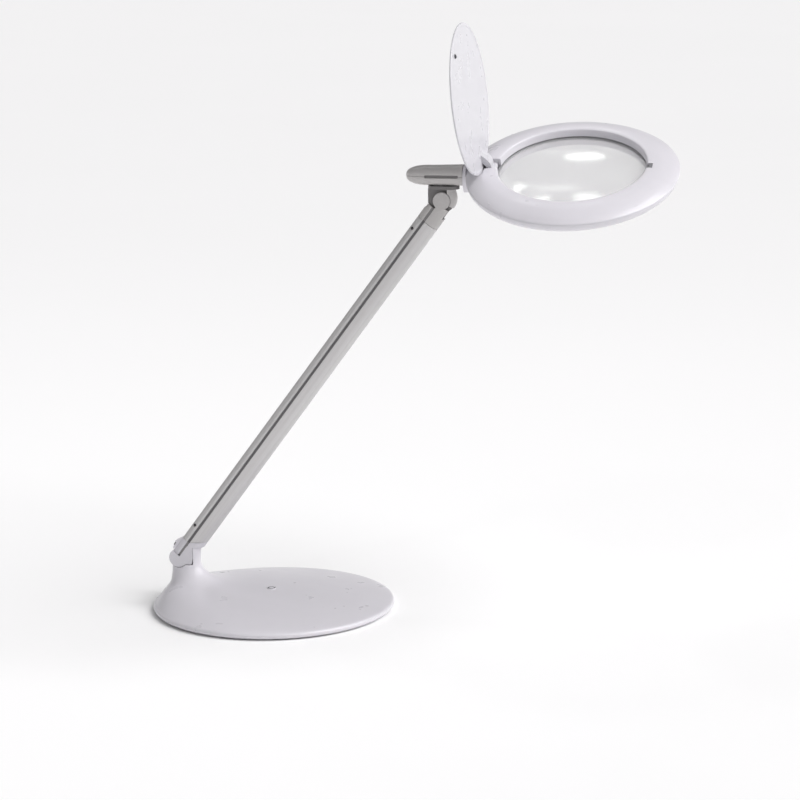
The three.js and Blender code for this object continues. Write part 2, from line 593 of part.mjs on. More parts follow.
function buildLink() {
  const link = new THREE.Group();
  const { axisZ, halfHeight, wall, seam, screwX } = LINK;
  const [floor, at] = [axisZ - halfHeight + wall, [screwX, 0]];
  const cavity = linkBody(wall, 133, RETAINER.to + 0.9);
  const spigotHole = rod('x', SPIGOT.radius + GAP, 160, 180, [0, axisZ]);
  const hull = cut(linkBody(0), cavity, spigotHole);
  const upperZone = box([100, -20, seam + 0.2], [200, 20, 420]);
  const lowerZone = box([100, -20, 360], [200, 20, seam - 0.2]);
  const { from, to, halfHeight: half, depth } = LINK_GROOVE;
  const grooves = [-1, 1].map((side) => {
    const [a, b] = onSide(side, LINK.halfWidth - depth, 15);
    return box([from, a, seam - half], [to, b, seam + half]);
  });
  const boss = rod('z', 3.3, floor + 0.5, 393, at, 12);
  const pilot = rod('z', 1.4, 370, 390, at, 12);
  link.add(node('link_top_cover', cut(join(common(hull, upperZone), boss), pilot, ...grooves), satinSilver));
  const headSeat = rod('z', 2.3, 370, 379.3, at, 12);
  const spindleHole = rod('z', POST.spindle + GAP, 370, 384, [UPPER.x, 0]);
  const lower = cut(common(hull, lowerZone), pilot, headSeat, spindleHole, ...grooves);
  const nutSeat = rod('z', 6.5, floor, 390, [UPPER.x, 0]);
  const bossRoom = rod('z', 3.6, floor + 0.1, 390, at);
  link.add(node('link_bottom_cover', cut(lower, nutSeat, bossRoom), satinSilver));
  const screw = join(rod('z', 2, 378.3, 379, at, 12), rod('z', 1.1, 378.8, 388.5, at, 12));
  link.add(node('link_screw', screw, darkSteel));
  return link;
}

// ---------------------------------------------------------------- lens head
// Head pieces are drawn about the twist axis (z = 0); the ring's own plane lies HEAD.lift above it.
const topSkin = [
  [HEAD.radius, 0], [89, 1.1], [85, 3.3], [80, 5.2], [74, 6.9], [68, 7.8], [64.4, HEAD.rimTop], [63, 7.8],
  [62.35, 7.1],
];
const screwPlaces = [45, 135, 225, 315].map((turn) => {
  return [HEAD_SCREWS.circle * Math.cos(turn * RAD), HEAD_SCREWS.circle * Math.sin(turn * RAD)];
});
const headAxis = [0, -HEAD.lift];

function headTopShell() {
  const inner = [[62.15, 1.4], [63.9, 1.4], [64.3, 6], [68, 6], [74, 5.1], [80, 3.4], [85, 1.4], [87.6, 0]];
  const shell = turned([...topSkin, ...inner]);
  const window = box([-79, -HINGE.halfWidth - 0.4, -3], [-55, HINGE.halfWidth + 0.4, 12]);
  const edgeRecess = box([-78.6, -17, 5.7], [-73.2, 17, 12]);
  const catchPocket = box([60, -4, 3], [67.4, 4, 12]);
  const ribs = [-1, 1].map((side) => {
    const [a, b] = onSide(side, HINGE.halfWidth + 0.4, HINGE.halfWidth + 3);
    return box([-72, a, -1.6], [-64, b, 6.4]);
  });
  const bosses = screwPlaces.map((at) => rod('z', HEAD_SCREWS.boss, -4.4, 3, at, 16));
  const pilots = screwPlaces.map((at) => rod('z', HEAD_SCREWS.pilot, -8, 1, at, 12));
  const pinBore = rod('y', HINGE.pin + 0.1, -9.4, 9.4, [HINGE.x, HINGE.z], 16);
  return cut(join(shell, ...ribs, ...bosses), window, edgeRecess, catchPocket, pinBore, ...pilots);
}

function headBottomShell() {
  const outline = [
    [89.4, -0.3], [88.8, -3], [87, -5.8], [84.4, -8.2], [81.3, -9.6], [81.3, -3.8], [66.4, -3.8], [66.4, -9.6],
    [62.5, -9.6], [62.4, -3.3], [64.2, -3.3], [64.2, -2.2], [86.2, -2.2], [87.2, -0.3],
  ];
  const channel = turned(outline);
  const start = LINK.front + GAP - HEAD.x;
  const collar = loft([
    pebble(start, 10.5, 11.5, -HEAD.lift - 2.7),
    pebble(-89, 10.7, 11.5, -HEAD.lift - 2.7),
    pebble(-85.8, 11.8, 10.3, -HEAD.lift - 2.3),
    pebble(-82.5, 14, 5.8, -HEAD.lift - 0.6),
  ]);
  const underTop = disc(HEAD.radius + GAP, -0.1, 20);
  const spigotFrom = SPIGOT.from - HEAD.x;
  const spigot = rod('x', SPIGOT.radius, spigotFrom, start + 1, headAxis);
  const wireBore = rod('x', SPIGOT.bore, spigotFrom - 5, -HEAD_SCREWS.circle, headAxis, 16);
  const screwSeats = screwPlaces.flatMap((at) => [
    rod('z', HEAD_SCREWS.boss + GAP, -4.7, 0, at, 12),
    rod('z', HEAD_SCREWS.pilot + 0.1, -20, 0, at, 12),
    rod('z', HEAD_SCREWS.head + GAP, -20, -6.4, at, 12),
  ]);
  const insideWall = turned([[81.3, -9.2], [84.4, -8.2], [87, -5.8], [88.6, -2.2], [81.3, -2.2]]);
  const bossWalls = screwPlaces.map((at) => common(rod('z', HEAD_SCREWS.wall, -8.4, -2.2, at, 20), insideWall));
  const wireSlot = box([-86, -3, -7.5], [-80, 3, -2.5]);
  return cut(join(channel, cut(collar, underTop), spigot, ...bossWalls), wireBore, wireSlot, ...screwSeats);
}

function magnifier() {
  const steps = 6;
  const face = (sign) => Array.from({ length: steps }, (_, k) => {
    const radius = LENS.radius * (1 - k / steps);
    return [radius, sign * (LENS.edge / 2 + LENS.rise * (1 - (radius / LENS.radius) ** 2)) - LENS.edge / 2];
  });
  const low = -LENS.edge - LENS.rise;
  const outline = [[0, LENS.rise], ...face(1).reverse(), ...face(-1), [0, low]];
  return new THREE.LatheGeometry(points2(outline), 32).rotateX(Math.PI / 2);
}

function ledBoard() {
  const leds = Array.from({ length: 18 }, (_, k) => {
    const lamp = box([72.6, -1.4, -6.5], [76, 1.4, -5.6]);
    return lamp.rotateZ((2 * Math.PI * k) / 18);
  });
  return join(ring(68, 80, -5.7, -4.1), ...leds);
}

function buildHead() {
  const head = new THREE.Group();
  head.position.set(HEAD.x, 0, LINK.axisZ);
  head.rotation.x = HEAD.roll * RAD;
  const frame = new THREE.Group();
  frame.position.z = HEAD.lift;
  head.add(frame);
  frame.add(node('head_top_shell', headTopShell(), whitePlastic));
  frame.add(node('head_bottom_shell', headBottomShell(), whitePlastic));
  frame.add(node('lens', magnifier(), clearGlass));
  frame.add(node('lens_gasket', ring(62.5, 63.8, 0.3, 1.1), blackRubber));
  frame.add(node('led_board', ledBoard(), boardGreen));
  frame.add(node('diffuser_ring', ring(66.7, 81, -9.4, -8.1), opalPlastic));
  screwPlaces.forEach((at, k) => {
    const screw = join(rod('z', HEAD_SCREWS.head, -7.7, -6.7, at, 12), rod('z', 1, -7, -1, at, 12));
    frame.add(node(`head_screw_${k + 1}`, screw, darkSteel));
  });
  frame.add(node('hinge_pin', rod('y', HINGE.pin - 0.1, -9.1, 9.1, [HINGE.x, HINGE.z], 16), steel));
  frame.add(node('cover_catch', box([62.7, -3.7, 3.3], [67.1, 3.7, 7.5]), darkSteel));
  const retainer = cut(
    rod('x', RETAINER.radius, RETAINER.from - HEAD.x, RETAINER.to - HEAD.x, headAxis),
    rod('x', SPIGOT.radius + GAP, -130, -80, headAxis),
  );
  frame.add(node('twist_retainer', retainer, steel));
  return { head, frame };
}

// ---------------------------------------------------------------- flip-up cover
// Drawn closed, about the hinge pin: x towards the lens centre, z up from the pin.
function lensCover() {
  const centre = -HINGE.x;
  const low = HEAD.rimTop + GAP - HINGE.z;
  const plate = disc(COVER.radius, low, low + COVER.thickness, 40).translate(centre, 0, 0);
  const chord = box([-20, -60, low - 5], [centre - COVER.chord, 60, low + 10]);
  const fingerNick = rod('z', 2.2, low - 2, low + 6, [centre + 49.5, 41.6], 16);
  const strap = shapeOf([
    [0, 3], [-1.5, -2.5], [0.9, -2.85], [2.4, -1.75], [3, -0.3], [8.2, -0.2], [14, 3], [17.5, low + 0.5],
    [10.5, low + 0.5], [6, 3.9],
  ]);
  const lug = join(alongY(strap, -5.5, 5.5), rod('y', HINGE.eye, -HINGE.halfWidth, HINGE.halfWidth, [0, 0], 20));
  const dimple = rod('z', 2.1, low - 1, low + 0.8, [centre + BUMPER.x, BUMPER.y], 16);
  return cut(join(cut(plate, chord, fingerNick, dimple), lug), rod('y', HINGE.pin + 0.1, -9, 9, [0, 0], 16));
}

function buildCover() {
  const cover = new THREE.Group();
  cover.position.set(HINGE.x, 0, HINGE.z);
  cover.rotation.y = -COVER.openAngle * RAD;
  cover.add(node('lens_cover', lensCover(), whitePlastic));
  const low = HEAD.rimTop + GAP - HINGE.z;
  const bumper = rod('z', BUMPER.radius, low - 0.9, low + 0.5, [BUMPER.x - HINGE.x, BUMPER.y], 16);
  cover.add(node('cover_bumper', bumper, blackRubber));
  return cover;
}

// ---------------------------------------------------------------- assembly
const lamp = new THREE.Group();
lamp.add(buildBase(), buildButton(), buildArm(), buildPost(), buildLink());
const { head, frame } = buildHead();
frame.add(buildCover());
lamp.add(head);

export default lamp;
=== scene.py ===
"""Desk magnifying lamp: detailed pieces, finishes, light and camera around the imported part.

Lengths in the piece makers are millimetres, in the same frames as the part: the row frame, the arm's
frame (x along the arm, z across it to the rear), the head's frame (z = 0 at the rim's parting line)
and the cover's frame (drawn closed, about the hinge pin).
"""

import math

import bmesh
import bpy
from mathutils import Matrix, Vector


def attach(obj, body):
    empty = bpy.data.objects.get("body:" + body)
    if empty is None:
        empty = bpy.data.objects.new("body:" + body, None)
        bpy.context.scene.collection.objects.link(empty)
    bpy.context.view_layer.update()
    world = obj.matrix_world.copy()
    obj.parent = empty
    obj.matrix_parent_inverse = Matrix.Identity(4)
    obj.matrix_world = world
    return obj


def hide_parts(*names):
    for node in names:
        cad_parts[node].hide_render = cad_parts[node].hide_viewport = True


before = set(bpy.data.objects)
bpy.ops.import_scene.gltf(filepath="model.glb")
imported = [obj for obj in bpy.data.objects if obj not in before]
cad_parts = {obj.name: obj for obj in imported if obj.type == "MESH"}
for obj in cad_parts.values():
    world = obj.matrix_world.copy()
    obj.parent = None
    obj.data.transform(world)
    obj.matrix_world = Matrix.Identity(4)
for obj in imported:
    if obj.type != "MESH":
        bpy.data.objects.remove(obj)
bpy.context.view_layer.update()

# ---------------------------------------------------------------- dimensions, as in the part
MM = 0.001
SLIVER = 0.00001
GAP = 0.3

BASE_RADIUS = 104.0
RIM_TOP = 6.6
BASE_WALL = 2.6
NECK_X, NECK_HALF_DEPTH, NECK_HALF_WIDTH, NECK_TOP = -79.5, 12.6, 8.6, 51.6
DOME_RISE, THROAT_RISE, THROAT_POWER = 15.0, 14.0, 18
BUTTON_X, BUTTON_RADIUS, BUTTON_TOP = -2.0, 4.2, 16.9
INLET_Z, INLET_OPENING = 6.9, 3.8

ARM_X, ARM_Z, ARM_ANGLE = -84.18, 39.61, math.radians(53.41)
ARM_HALF_DEPTH, ARM_HALF_WIDTH, ARM_WALL = 10.0, 7.1, 1.5
GROOVE_FRONT, GROOVE_REAR, GROOVE_HALF = -2.1, -4.3, 5.2
SEAM = -GROOVE_FRONT + GAP / 2
CAP_FROM, CAP_TO, CHANNEL_FROM, CHANNEL_TO, TENON_LOW, TENON_HIGH = 3.2, 18.7, 19.0, 381.0, 48.0, 352.0
SIDE_SCREWS, SIDE_SCREW_Z, SIDE_SCREW_RADIUS = (35.3, 370.0), 7.8, 1.3
DRAG_ALONG, DRAG_SEAT = 8.2, 12.2

LOWER_X, LOWER_Z, LOWER_KNUCKLE, LOWER_SLOT = -85.1, 42.3, 8.4, 9.0
LOWER_TONGUE, LOWER_HALF_TONGUE = 7.8, 2.6
STOP_REAR, STOP_REACH, STOP_TOP, STOP_NOTCH, STOP_COLLAR = 13.5, 13.1, NECK_TOP - LOWER_Z, -5.9, 4.6
UPPER_X, UPPER_Z, UPPER_KNUCKLE, UPPER_TONGUE, UPPER_SLOT = 156.08, 365.16, 7.5, 3.2, 4.4
POST_REAR, POST_NOSE, POST_LOW, POST_TOP, POST_HALF, POST_TONGUE = 12.2, 14.4, 9.7, 12.4, 7.2, 10.6
FLANGE_REAR, FLANGE_INNER, FLANGE_END = 4.9, 7.9, math.radians(-34)

LINK_REAR, LINK_FRONT, LINK_Z, LINK_HALF_HEIGHT, LINK_HALF_WIDTH = 124.8, 174.4, 386.4, 8.5, 9.5
LINK_RISE, LINK_SEAM, LINK_SCREW = 0.8, 386.0, (137, 0)
LINK_GROOVE, LINK_GROOVE_HALF = (141.7, 171.0), 1.3
SPIGOT_RADIUS, SPIGOT_FROM = 4.4, 163.4
HEAD_X, HEAD_ROLL, HEAD_LIFT, HEAD_RADIUS = 267.1, math.radians(21.1), 4.2, 89.7
HEAD_SCREWS = 83.6
LENS_RADIUS, LENS_EDGE, LENS_RISE = 63.5, 3.0, 5.7
HINGE_X, HINGE_Z, HINGE_PIN, HINGE_HALF = -67.2, 1.7, 1.5, 7.6
COVER_RADIUS, COVER_THICKNESS, COVER_OPEN, COVER_CHORD = 63.5, 1.8, math.radians(96.6), 61.6

# ---------------------------------------------------------------- frames
def at(x, y, z):
    return Matrix.Translation(Vector((x, y, z)) * MM)


ROW = Matrix.Identity(4)
LOWER_LEVEL = at(LOWER_X, 0, LOWER_Z)
ARM = at(ARM_X, 0, ARM_Z) @ Matrix.Rotation(-ARM_ANGLE, 4, "Y")
POST = at(UPPER_X, 0, UPPER_Z)
HEAD = at(HEAD_X, 0, LINK_Z) @ Matrix.Rotation(HEAD_ROLL, 4, "X") @ at(0, 0, HEAD_LIFT)
COVER = HEAD @ at(HINGE_X, 0, HINGE_Z) @ Matrix.Rotation(-COVER_OPEN, 4, "Y")


def arm_point(x, z):
    dx, dz = x - ARM_X, z - ARM_Z
    c, s = math.cos(ARM_ANGLE), math.sin(ARM_ANGLE)
    return dx * c + dz * s, dz * c - dx * s


LOWER_PIVOT, UPPER_PIVOT = arm_point(LOWER_X, LOWER_Z), arm_point(UPPER_X, UPPER_Z)

# ---------------------------------------------------------------- outlines
AXES = {
    "x": lambda a, b, t: (t, a, b),
    "y": lambda a, b, t: (a, t, b),
    "z": lambda a, b, t: (a, b, t),
}


def circle(radius, centre=(0, 0), sides=64):
    return arc(radius, 0, 360, centre, sides)[:-1]


def arc(radius, start, end, centre=(0, 0), steps=24):
    turns = [math.radians(start + (end - start) * k / steps) for k in range(steps + 1)]
    return [(centre[0] + radius * math.cos(t), centre[1] + radius * math.sin(t)) for t in turns]


def smooth(points, steps=6):
    """A Catmull-Rom line through the points."""
    ends = [Vector(points[0]) * 2 - Vector(points[1])]
    tail = [Vector(points[-1]) * 2 - Vector(points[-2])]
    p = ends + [Vector(q) for q in points] + tail
    line = []
    for k in range(1, len(p) - 2):
        for s in range(steps):
            t = s / steps
            line.append(tuple(0.5 * (2 * p[k] + (p[k + 1] - p[k - 1]) * t
                                     + (2 * p[k - 1] - 5 * p[k] + 4 * p[k + 1] - p[k + 2]) * t * t
                                     + (3 * p[k] - p[k - 1] - 3 * p[k + 1] + p[k + 2]) * t ** 3)))
    return line + [tuple(points[-1])]


def rounded(points, radius, steps=5):
    """A closed outline with its corners rounded; radius is one number, or one for each corner."""
    radii = radius if isinstance(radius, (list, tuple)) else [radius] * len(points)
    line = []
    for k, r in enumerate(radii):
        here = Vector(points[k])
        before = Vector(points[k - 1]) - here
        after = Vector(points[(k + 1) % len(points)]) - here
        if r <= 0:
            line.append(tuple(here))
            continue
        reach = min(r, before.length * 0.48, after.length * 0.48)
        a, b = here + before.normalized() * reach, here + after.normalized() * reach
        for s in range(steps + 1):
            t = s / steps
            line.append(tuple(a * (1 - t) ** 2 + here * 2 * t * (1 - t) + b * t * t))
    return line


def mirrored(side):
    return list(side) + [(-a, b) for a, b in reversed(side)]


def squircle(half_width, low, sides=64, centre=(0, 0), high=None):
    """Between an oval and a rounded rectangle; the upper half may be taller."""
    def bulge(value):
        return math.copysign(abs(value) ** 0.8, value)
    line = []
    for k in range(sides):
        turn = 2 * math.pi * k / sides
        height = high if high is not None and math.sin(turn) > 0 else low
        line.append((centre[0] + half_width * bulge(math.cos(turn)),
                     centre[1] + height * bulge(math.sin(turn))))
    return line


# ---------------------------------------------------------------- shapes: (vertices, faces)
def loft(rings):
    count = len(rings[0])
    verts = [p for ring in rings for p in ring]
    faces = [tuple(reversed(range(count))), tuple(range(len(verts) - count, len(verts)))]
    for row in range(0, len(verts) - count, count):
        for k in range(count):
            a, b = row + k, row + (k + 1) % count
            faces.append((a, b, b + count, a + count))
    return verts, faces


def prism(axis, outline, low, high):
    place = AXES[axis]
    return loft([[place(a, b, t) for a, b in outline] for t in (low, high)])


def rod(axis, radius, low, high, centre=(0, 0), sides=48):
    return prism(axis, circle(radius, centre, sides), low, high)


def block(low, high):
    (x0, y0, z0), (x1, y1, z1) = low, high
    return prism("z", [(x0, y0), (x1, y0), (x1, y1), (x0, y1)], z0, z1)


def turned(profile, axis="z", centre=(0, 0), sides=128):
    """A body of revolution from a (radius, height) outline that is closed, or ends on the axis."""
    place = AXES[axis]
    count = len(profile)
    turns = [2 * math.pi * k / sides for k in range(sides)]
    verts = [place(centre[0] + r * math.cos(t), centre[1] + r * math.sin(t), h)
             for t in turns for r, h in profile]
    faces = []
    for k in range(sides):
        a, b = k * count, (k + 1) % sides * count
        for j in range(count):
            n = (j + 1) % count
            faces.append((a + j, b + j, b + n, a + n))
    return verts, faces


# ---------------------------------------------------------------- objects
def build(name, shape, place=ROW):
    verts, faces = shape
    mesh = bpy.data.meshes.new(name)
    bm = bmesh.new()
    corners = [bm.verts.new(Vector(v) * MM) for v in verts]
    for face in faces:
        bm.faces.new([corners[k] for k in face])
    bmesh.ops.remove_doubles(bm, verts=bm.verts, dist=1e-7)
    bmesh.ops.recalc_face_normals(bm, faces=bm.faces)
    bm.to_mesh(mesh)
    bm.free()
    obj = bpy.data.objects.new(name, mesh)
    bpy.context.scene.collection.objects.link(obj)
    obj.matrix_world = place
    return obj


def settle(obj):
    """Applies the object's modifiers."""
    bpy.context.view_layer.update()
    result = bpy.data.meshes.new_from_object(obj.evaluated_get(bpy.context.evaluated_depsgraph_get()))
    old = obj.data
    obj.modifiers.clear()
    obj.data = result
    bpy.data.meshes.remove(old)


def combine(obj, operation, shapes):
    """Adds or cuts shapes; each is in the object's own frame unless it comes with a frame."""
    for shape in shapes:
        place = obj.matrix_world.copy()
        if isinstance(shape[1], Matrix):
            shape, place = shape
        tool = build("tool", shape, place)
        modifier = obj.modifiers.new("boolean", "BOOLEAN")
        modifier.operation = operation
        modifier.solver = "MANIFOLD"
        modifier.object = tool
        settle(obj)
        mesh = tool.data
        bpy.data.objects.remove(tool)
        bpy.data.meshes.remove(mesh)
    return obj


def unite(obj, other):
    modifier = obj.modifiers.new("boolean", "BOOLEAN")
    modifier.operation, modifier.solver, modifier.object = "UNION", "MANIFOLD", other
    settle(obj)
    mesh = other.data
    bpy.data.objects.remove(other)
    bpy.data.meshes.remove(mesh)


def solid(name, first, place=ROW, add=(), cut=(), keep=()):
    obj = build(name, first, place)
    combine(obj, "INTERSECT", keep)
    combine(obj, "UNION", add)
    combine(obj, "DIFFERENCE", cut)
    return obj


def drop_slivers(mesh):
    """Removes the faces without area that cuts leave behind, so that no bevel catches on them."""
    bm = bmesh.new()
    bm.from_mesh(mesh)
    bmesh.ops.dissolve_degenerate(bm, dist=SLIVER, edges=bm.edges)
    bm.to_mesh(mesh)
    bm.free()


def show(obj, body, material, replaces=(), bevel=0.3, angle=32, segments=3):
    """Finishes a piece: edges, shading, material, the body it rides and the CAD nodes it stands for."""
    obj.data.transform(obj.matrix_world)
    obj.matrix_world = ROW
    drop_slivers(obj.data)
    obj.data.materials.clear()
    obj.data.materials.append(material)
    obj.data.shade_smooth()
    if bevel:
        modifier = obj.modifiers.new("soft_edges", "BEVEL")
        modifier.width = bevel * MM
        modifier.segments = segments
        modifier.limit_method = "ANGLE"
        modifier.angle_limit = math.radians(angle)
        modifier.harden_normals = True
        modifier.use_clamp_overlap = True
    else:
        obj.data.set_sharp_from_angle(angle=math.radians(angle))
    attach(obj, body)
    if replaces:
        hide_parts(*replaces)
    return obj


# ---------------------------------------------------------------- materials
def new_material(name):
    material = bpy.data.materials.new(name)
    material.use_nodes = True
    nodes = material.node_tree.nodes
    return material, nodes, material.node_tree.links, nodes["Principled BSDF"]


def noise(nodes, links, scale, stretch=(1, 1, 1), detail=3.0):
    coordinates = nodes.new("ShaderNodeTexCoord")
    mapping = nodes.new("ShaderNodeMapping")
    mapping.inputs["Scale"].default_value = stretch
    texture = nodes.new("ShaderNodeTexNoise")
    texture.inputs["Scale"].default_value = scale
    texture.inputs["Detail"].default_value = detail
    along = nodes.new("ShaderNodeMapping")
    along.inputs["Rotation"].default_value = (0, ARM_ANGLE, 0)
    links.new(coordinates.outputs["Object"], along.inputs["Vector"])
    links.new(along.outputs["Vector"], mapping.inputs["Vector"])
    links.new(mapping.outputs["Vector"], texture.inputs["Vector"])
    return texture.outputs["Fac"]


def between(nodes, links, factor, low, high, start=0.3, end=0.7):
    span = nodes.new("ShaderNodeMapRange")
    span.inputs["From Min"].default_value = start
    span.inputs["From Max"].default_value = end
    span.inputs["To Min"].default_value = low
    span.inputs["To Max"].default_value = high
    links.new(factor, span.inputs["Value"])
    return span.outputs["Result"]


def surface(name, colour, roughness, metallic=0.0, tone=0.03, tone_scale=14, rough_spread=0.05,
            rough_scale=60, grain=0.02, grain_scale=1400, grain_detail=4.0, stretch=(1, 1, 1),
            coat=0.0, coat_roughness=0.1, specular=0.5, speck=0.0, speck_scale=500):
    """A finish whose colour drifts by tone, whose roughness varies and which has a fine grain."""
    material, nodes, links, shader = new_material(name)
    shader.inputs["Metallic"].default_value = metallic
    shader.inputs["Coat Weight"].default_value = coat
    shader.inputs["Coat Roughness"].default_value = coat_roughness
    shader.inputs["Specular IOR Level"].default_value = specular

    mix = nodes.new("ShaderNodeMix")
    mix.data_type = "RGBA"
    mix.inputs["A"].default_value = (*[c * (1 - tone) for c in colour], 1)
    mix.inputs["B"].default_value = (*[min(c * (1 + tone), 1) for c in colour], 1)
    drift = noise(nodes, links, tone_scale, stretch)
    links.new(between(nodes, links, drift, 0, 1), mix.inputs["Factor"])
    shade = mix.outputs["Result"]
    if speck:
        flecks = nodes.new("ShaderNodeMix")
        flecks.data_type = "RGBA"
        flecks.blend_type = "MULTIPLY"
        flecks.inputs["Factor"].default_value = 1.0
        fleck = between(nodes, links, noise(nodes, links, speck_scale, stretch, 2.0), 1 - speck, 1 + speck)
        grey = nodes.new("ShaderNodeCombineColor")
        for channel in ("Red", "Green", "Blue"):
            links.new(fleck, grey.inputs[channel])
        links.new(shade, flecks.inputs["A"])
        links.new(grey.outputs["Color"], flecks.inputs["B"])
        shade = flecks.outputs["Result"]
    links.new(shade, shader.inputs["Base Color"])

    wear = noise(nodes, links, rough_scale, stretch)
    spread = between(nodes, links, wear, max(roughness - rough_spread, 0.02), roughness + rough_spread)
    links.new(spread, shader.inputs["Roughness"])

    bump = nodes.new("ShaderNodeBump")
    bump.inputs["Strength"].default_value = grain
    bump.inputs["Distance"].default_value = 0.0004
    links.new(noise(nodes, links, grain_scale, stretch, grain_detail), bump.inputs["Height"])
    links.new(bump.outputs["Normal"], shader.inputs["Normal"])
    return material


def clear_glass():
    material, nodes, links, shader = new_material("lens_glass")
    shader.inputs["Transmission Weight"].default_value = 0.72
    shader.inputs["IOR"].default_value = 1.06
    shader.inputs["Coat Weight"].default_value = 1.0
    shader.inputs["Coat IOR"].default_value = 1.5
    shader.inputs["Coat Roughness"].default_value = 0.13
    mix = nodes.new("ShaderNodeMix")
    mix.data_type = "RGBA"
    mix.inputs["A"].default_value = (0.82, 0.82, 0.825, 1)
    mix.inputs["B"].default_value = (0.86, 0.86, 0.865, 1)
    links.new(between(nodes, links, noise(nodes, links, 20), 0, 1), mix.inputs["Factor"])
    links.new(mix.outputs["Result"], shader.inputs["Base Color"])
    haze = between(nodes, links, noise(nodes, links, 90), 0.0, 0.03)
    links.new(haze, shader.inputs["Roughness"])
    return material


MOULDED = {"tone": 0.012, "grain": 0.02, "grain_scale": 220, "grain_detail": 1.0, "speck": 0.006,
           "speck_scale": 120}
PAINTED = {"metallic": 0.12, "rough_spread": 0.06, "grain": 0.04, "grain_scale": 1600, "speck": 0.04,
           "speck_scale": 1500}
BRUSHED = (0.12, 14, 14)

white = surface("white_plastic", (0.655, 0.640, 0.680), 0.33, rough_spread=0.06, coat=0.12, coat_roughness=0.12,
                **MOULDED)
# The cover's white is a darker copy of the white plastic: painted shade, so the cover reads less lit than it
# would.
cover_white_shaded = surface("cover_plastic", (0.60, 0.595, 0.626), 0.30, coat=0.2, **MOULDED)
silver = surface("satin_silver", (0.49, 0.475, 0.47), 0.40, tone=0.02, coat=0.12, coat_roughness=0.2, **PAINTED)
# A darker copy of satin_silver: painted shade, for the post's block under the link and the strips in the link's
# seam.
silver_painted_shade = surface("shaded_silver", (0.17, 0.163, 0.163), 0.42, coat=0.08, coat_roughness=0.25, **PAINTED)
aluminium = surface("aluminium", (0.585, 0.575, 0.577), 0.38, metallic=0.38, tone=0.035, tone_scale=30,
                    rough_spread=0.07, rough_scale=80, grain=0.10, grain_scale=90, stretch=BRUSHED,
                    speck=0.03, speck_scale=70)
# The arm's groove strip is near black: painted shade in the groove between the tube and the rear channel.
groove_shade_dark = surface("groove_painted_shade", (0.17, 0.165, 0.17), 0.5, metallic=0.5, tone=0.06, grain=0.08,
                      grain_scale=90, stretch=BRUSHED)
steel = surface("steel", (0.55, 0.55, 0.56), 0.28, metallic=1.0, tone=0.04, grain=0.06, grain_scale=1500)
dark_steel = surface("dark_steel", (0.075, 0.073, 0.076), 0.36, metallic=0.8, tone=0.10, grain=0.08,
                     grain_scale=1800)
iron = surface("cast_iron", (0.12, 0.12, 0.125), 0.62, metallic=0.4, tone=0.12, tone_scale=60, grain=0.5,
               grain_scale=520, speck=0.10)
rubber = surface("rubber", (0.035, 0.035, 0.038), 0.78, tone=0.10, tone_scale=50, grain=0.25, grain_scale=900,
                 specular=0.3)
nylon = surface("nylon", (0.60, 0.60, 0.57), 0.5, tone=0.03, grain=0.06)
black = surface("black_plastic", (0.03, 0.03, 0.032), 0.42, tone=0.08, grain=0.10, grain_scale=1600)
# A darker silver for the strips in the joints' grooves: painted shade in the grooves.
groove_shade_silver = surface("groove_shade_silver", (0.27, 0.262, 0.262), 0.42, metallic=0.4, tone=0.04, grain=0.05,
                        grain_scale=900)
seal_grey = surface("seal_rubber", (0.20, 0.20, 0.21), 0.7, tone=0.06, tone_scale=50, grain=0.15,
                    grain_scale=900)
mark_grey = surface("printed_mark", (0.055, 0.053, 0.062), 0.55, tone=0.05, grain=0.03)
opal = surface("opal_plastic", (0.80, 0.80, 0.78), 0.42, tone=0.012, grain=0.04)
board_green = surface("circuit_board", (0.05, 0.20, 0.10), 0.45, tone=0.15, tone_scale=240, grain=0.15,
                      grain_scale=700, speck=0.12, speck_scale=420)
glass = clear_glass()


def paint(material, slot, *names):
    for name in names:
        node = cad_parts[name]
        if not node.material_slots:
            node.data.materials.append(material)
        for place in node.material_slots:
            place.link = "OBJECT"
            place.material = material


# ---------------------------------------------------------------- base
def base_level(share):
    radius = BASE_RADIUS + (NECK_HALF_DEPTH - BASE_RADIUS) * share
    return (
        NECK_X * share,
        radius,
        radius - (NECK_HALF_DEPTH - NECK_HALF_WIDTH) * share ** 6,
        RIM_TOP + DOME_RISE * share ** 0.9 + THROAT_RISE * share ** THROAT_POWER,
    )


def ellipse(level, sides=192, inset=0.0):
    x, half_depth, half_width, z = level
    turns = [2 * math.pi * k / sides for k in range(sides)]
    a, b = half_depth - inset, half_width - inset
    return [(x + a * math.cos(t), b * math.sin(t), z - inset) for t in turns]


def neck_levels(start_share, rise_to):
    """Carries the dome's last level up into the upright neck without a crease."""
    step = 0.002
    low = Vector(base_level(start_share))
    slope = (low - Vector(base_level(start_share - step))) / (low.w - base_level(start_share - step)[3])
    high = Vector((-79.3, 12.9, 8.6, rise_to))
    span = high.w - low.w
    levels = []
    for k in range(1, 17):
        t = k / 16
        blend = (low * (2 * t ** 3 - 3 * t * t + 1) + slope * span * (t ** 3 - 2 * t * t + t)
                 + high * (3 * t * t - 2 * t ** 3))
        levels.append((blend.x, blend.y, blend.z, low.w + span * t))
    return levels


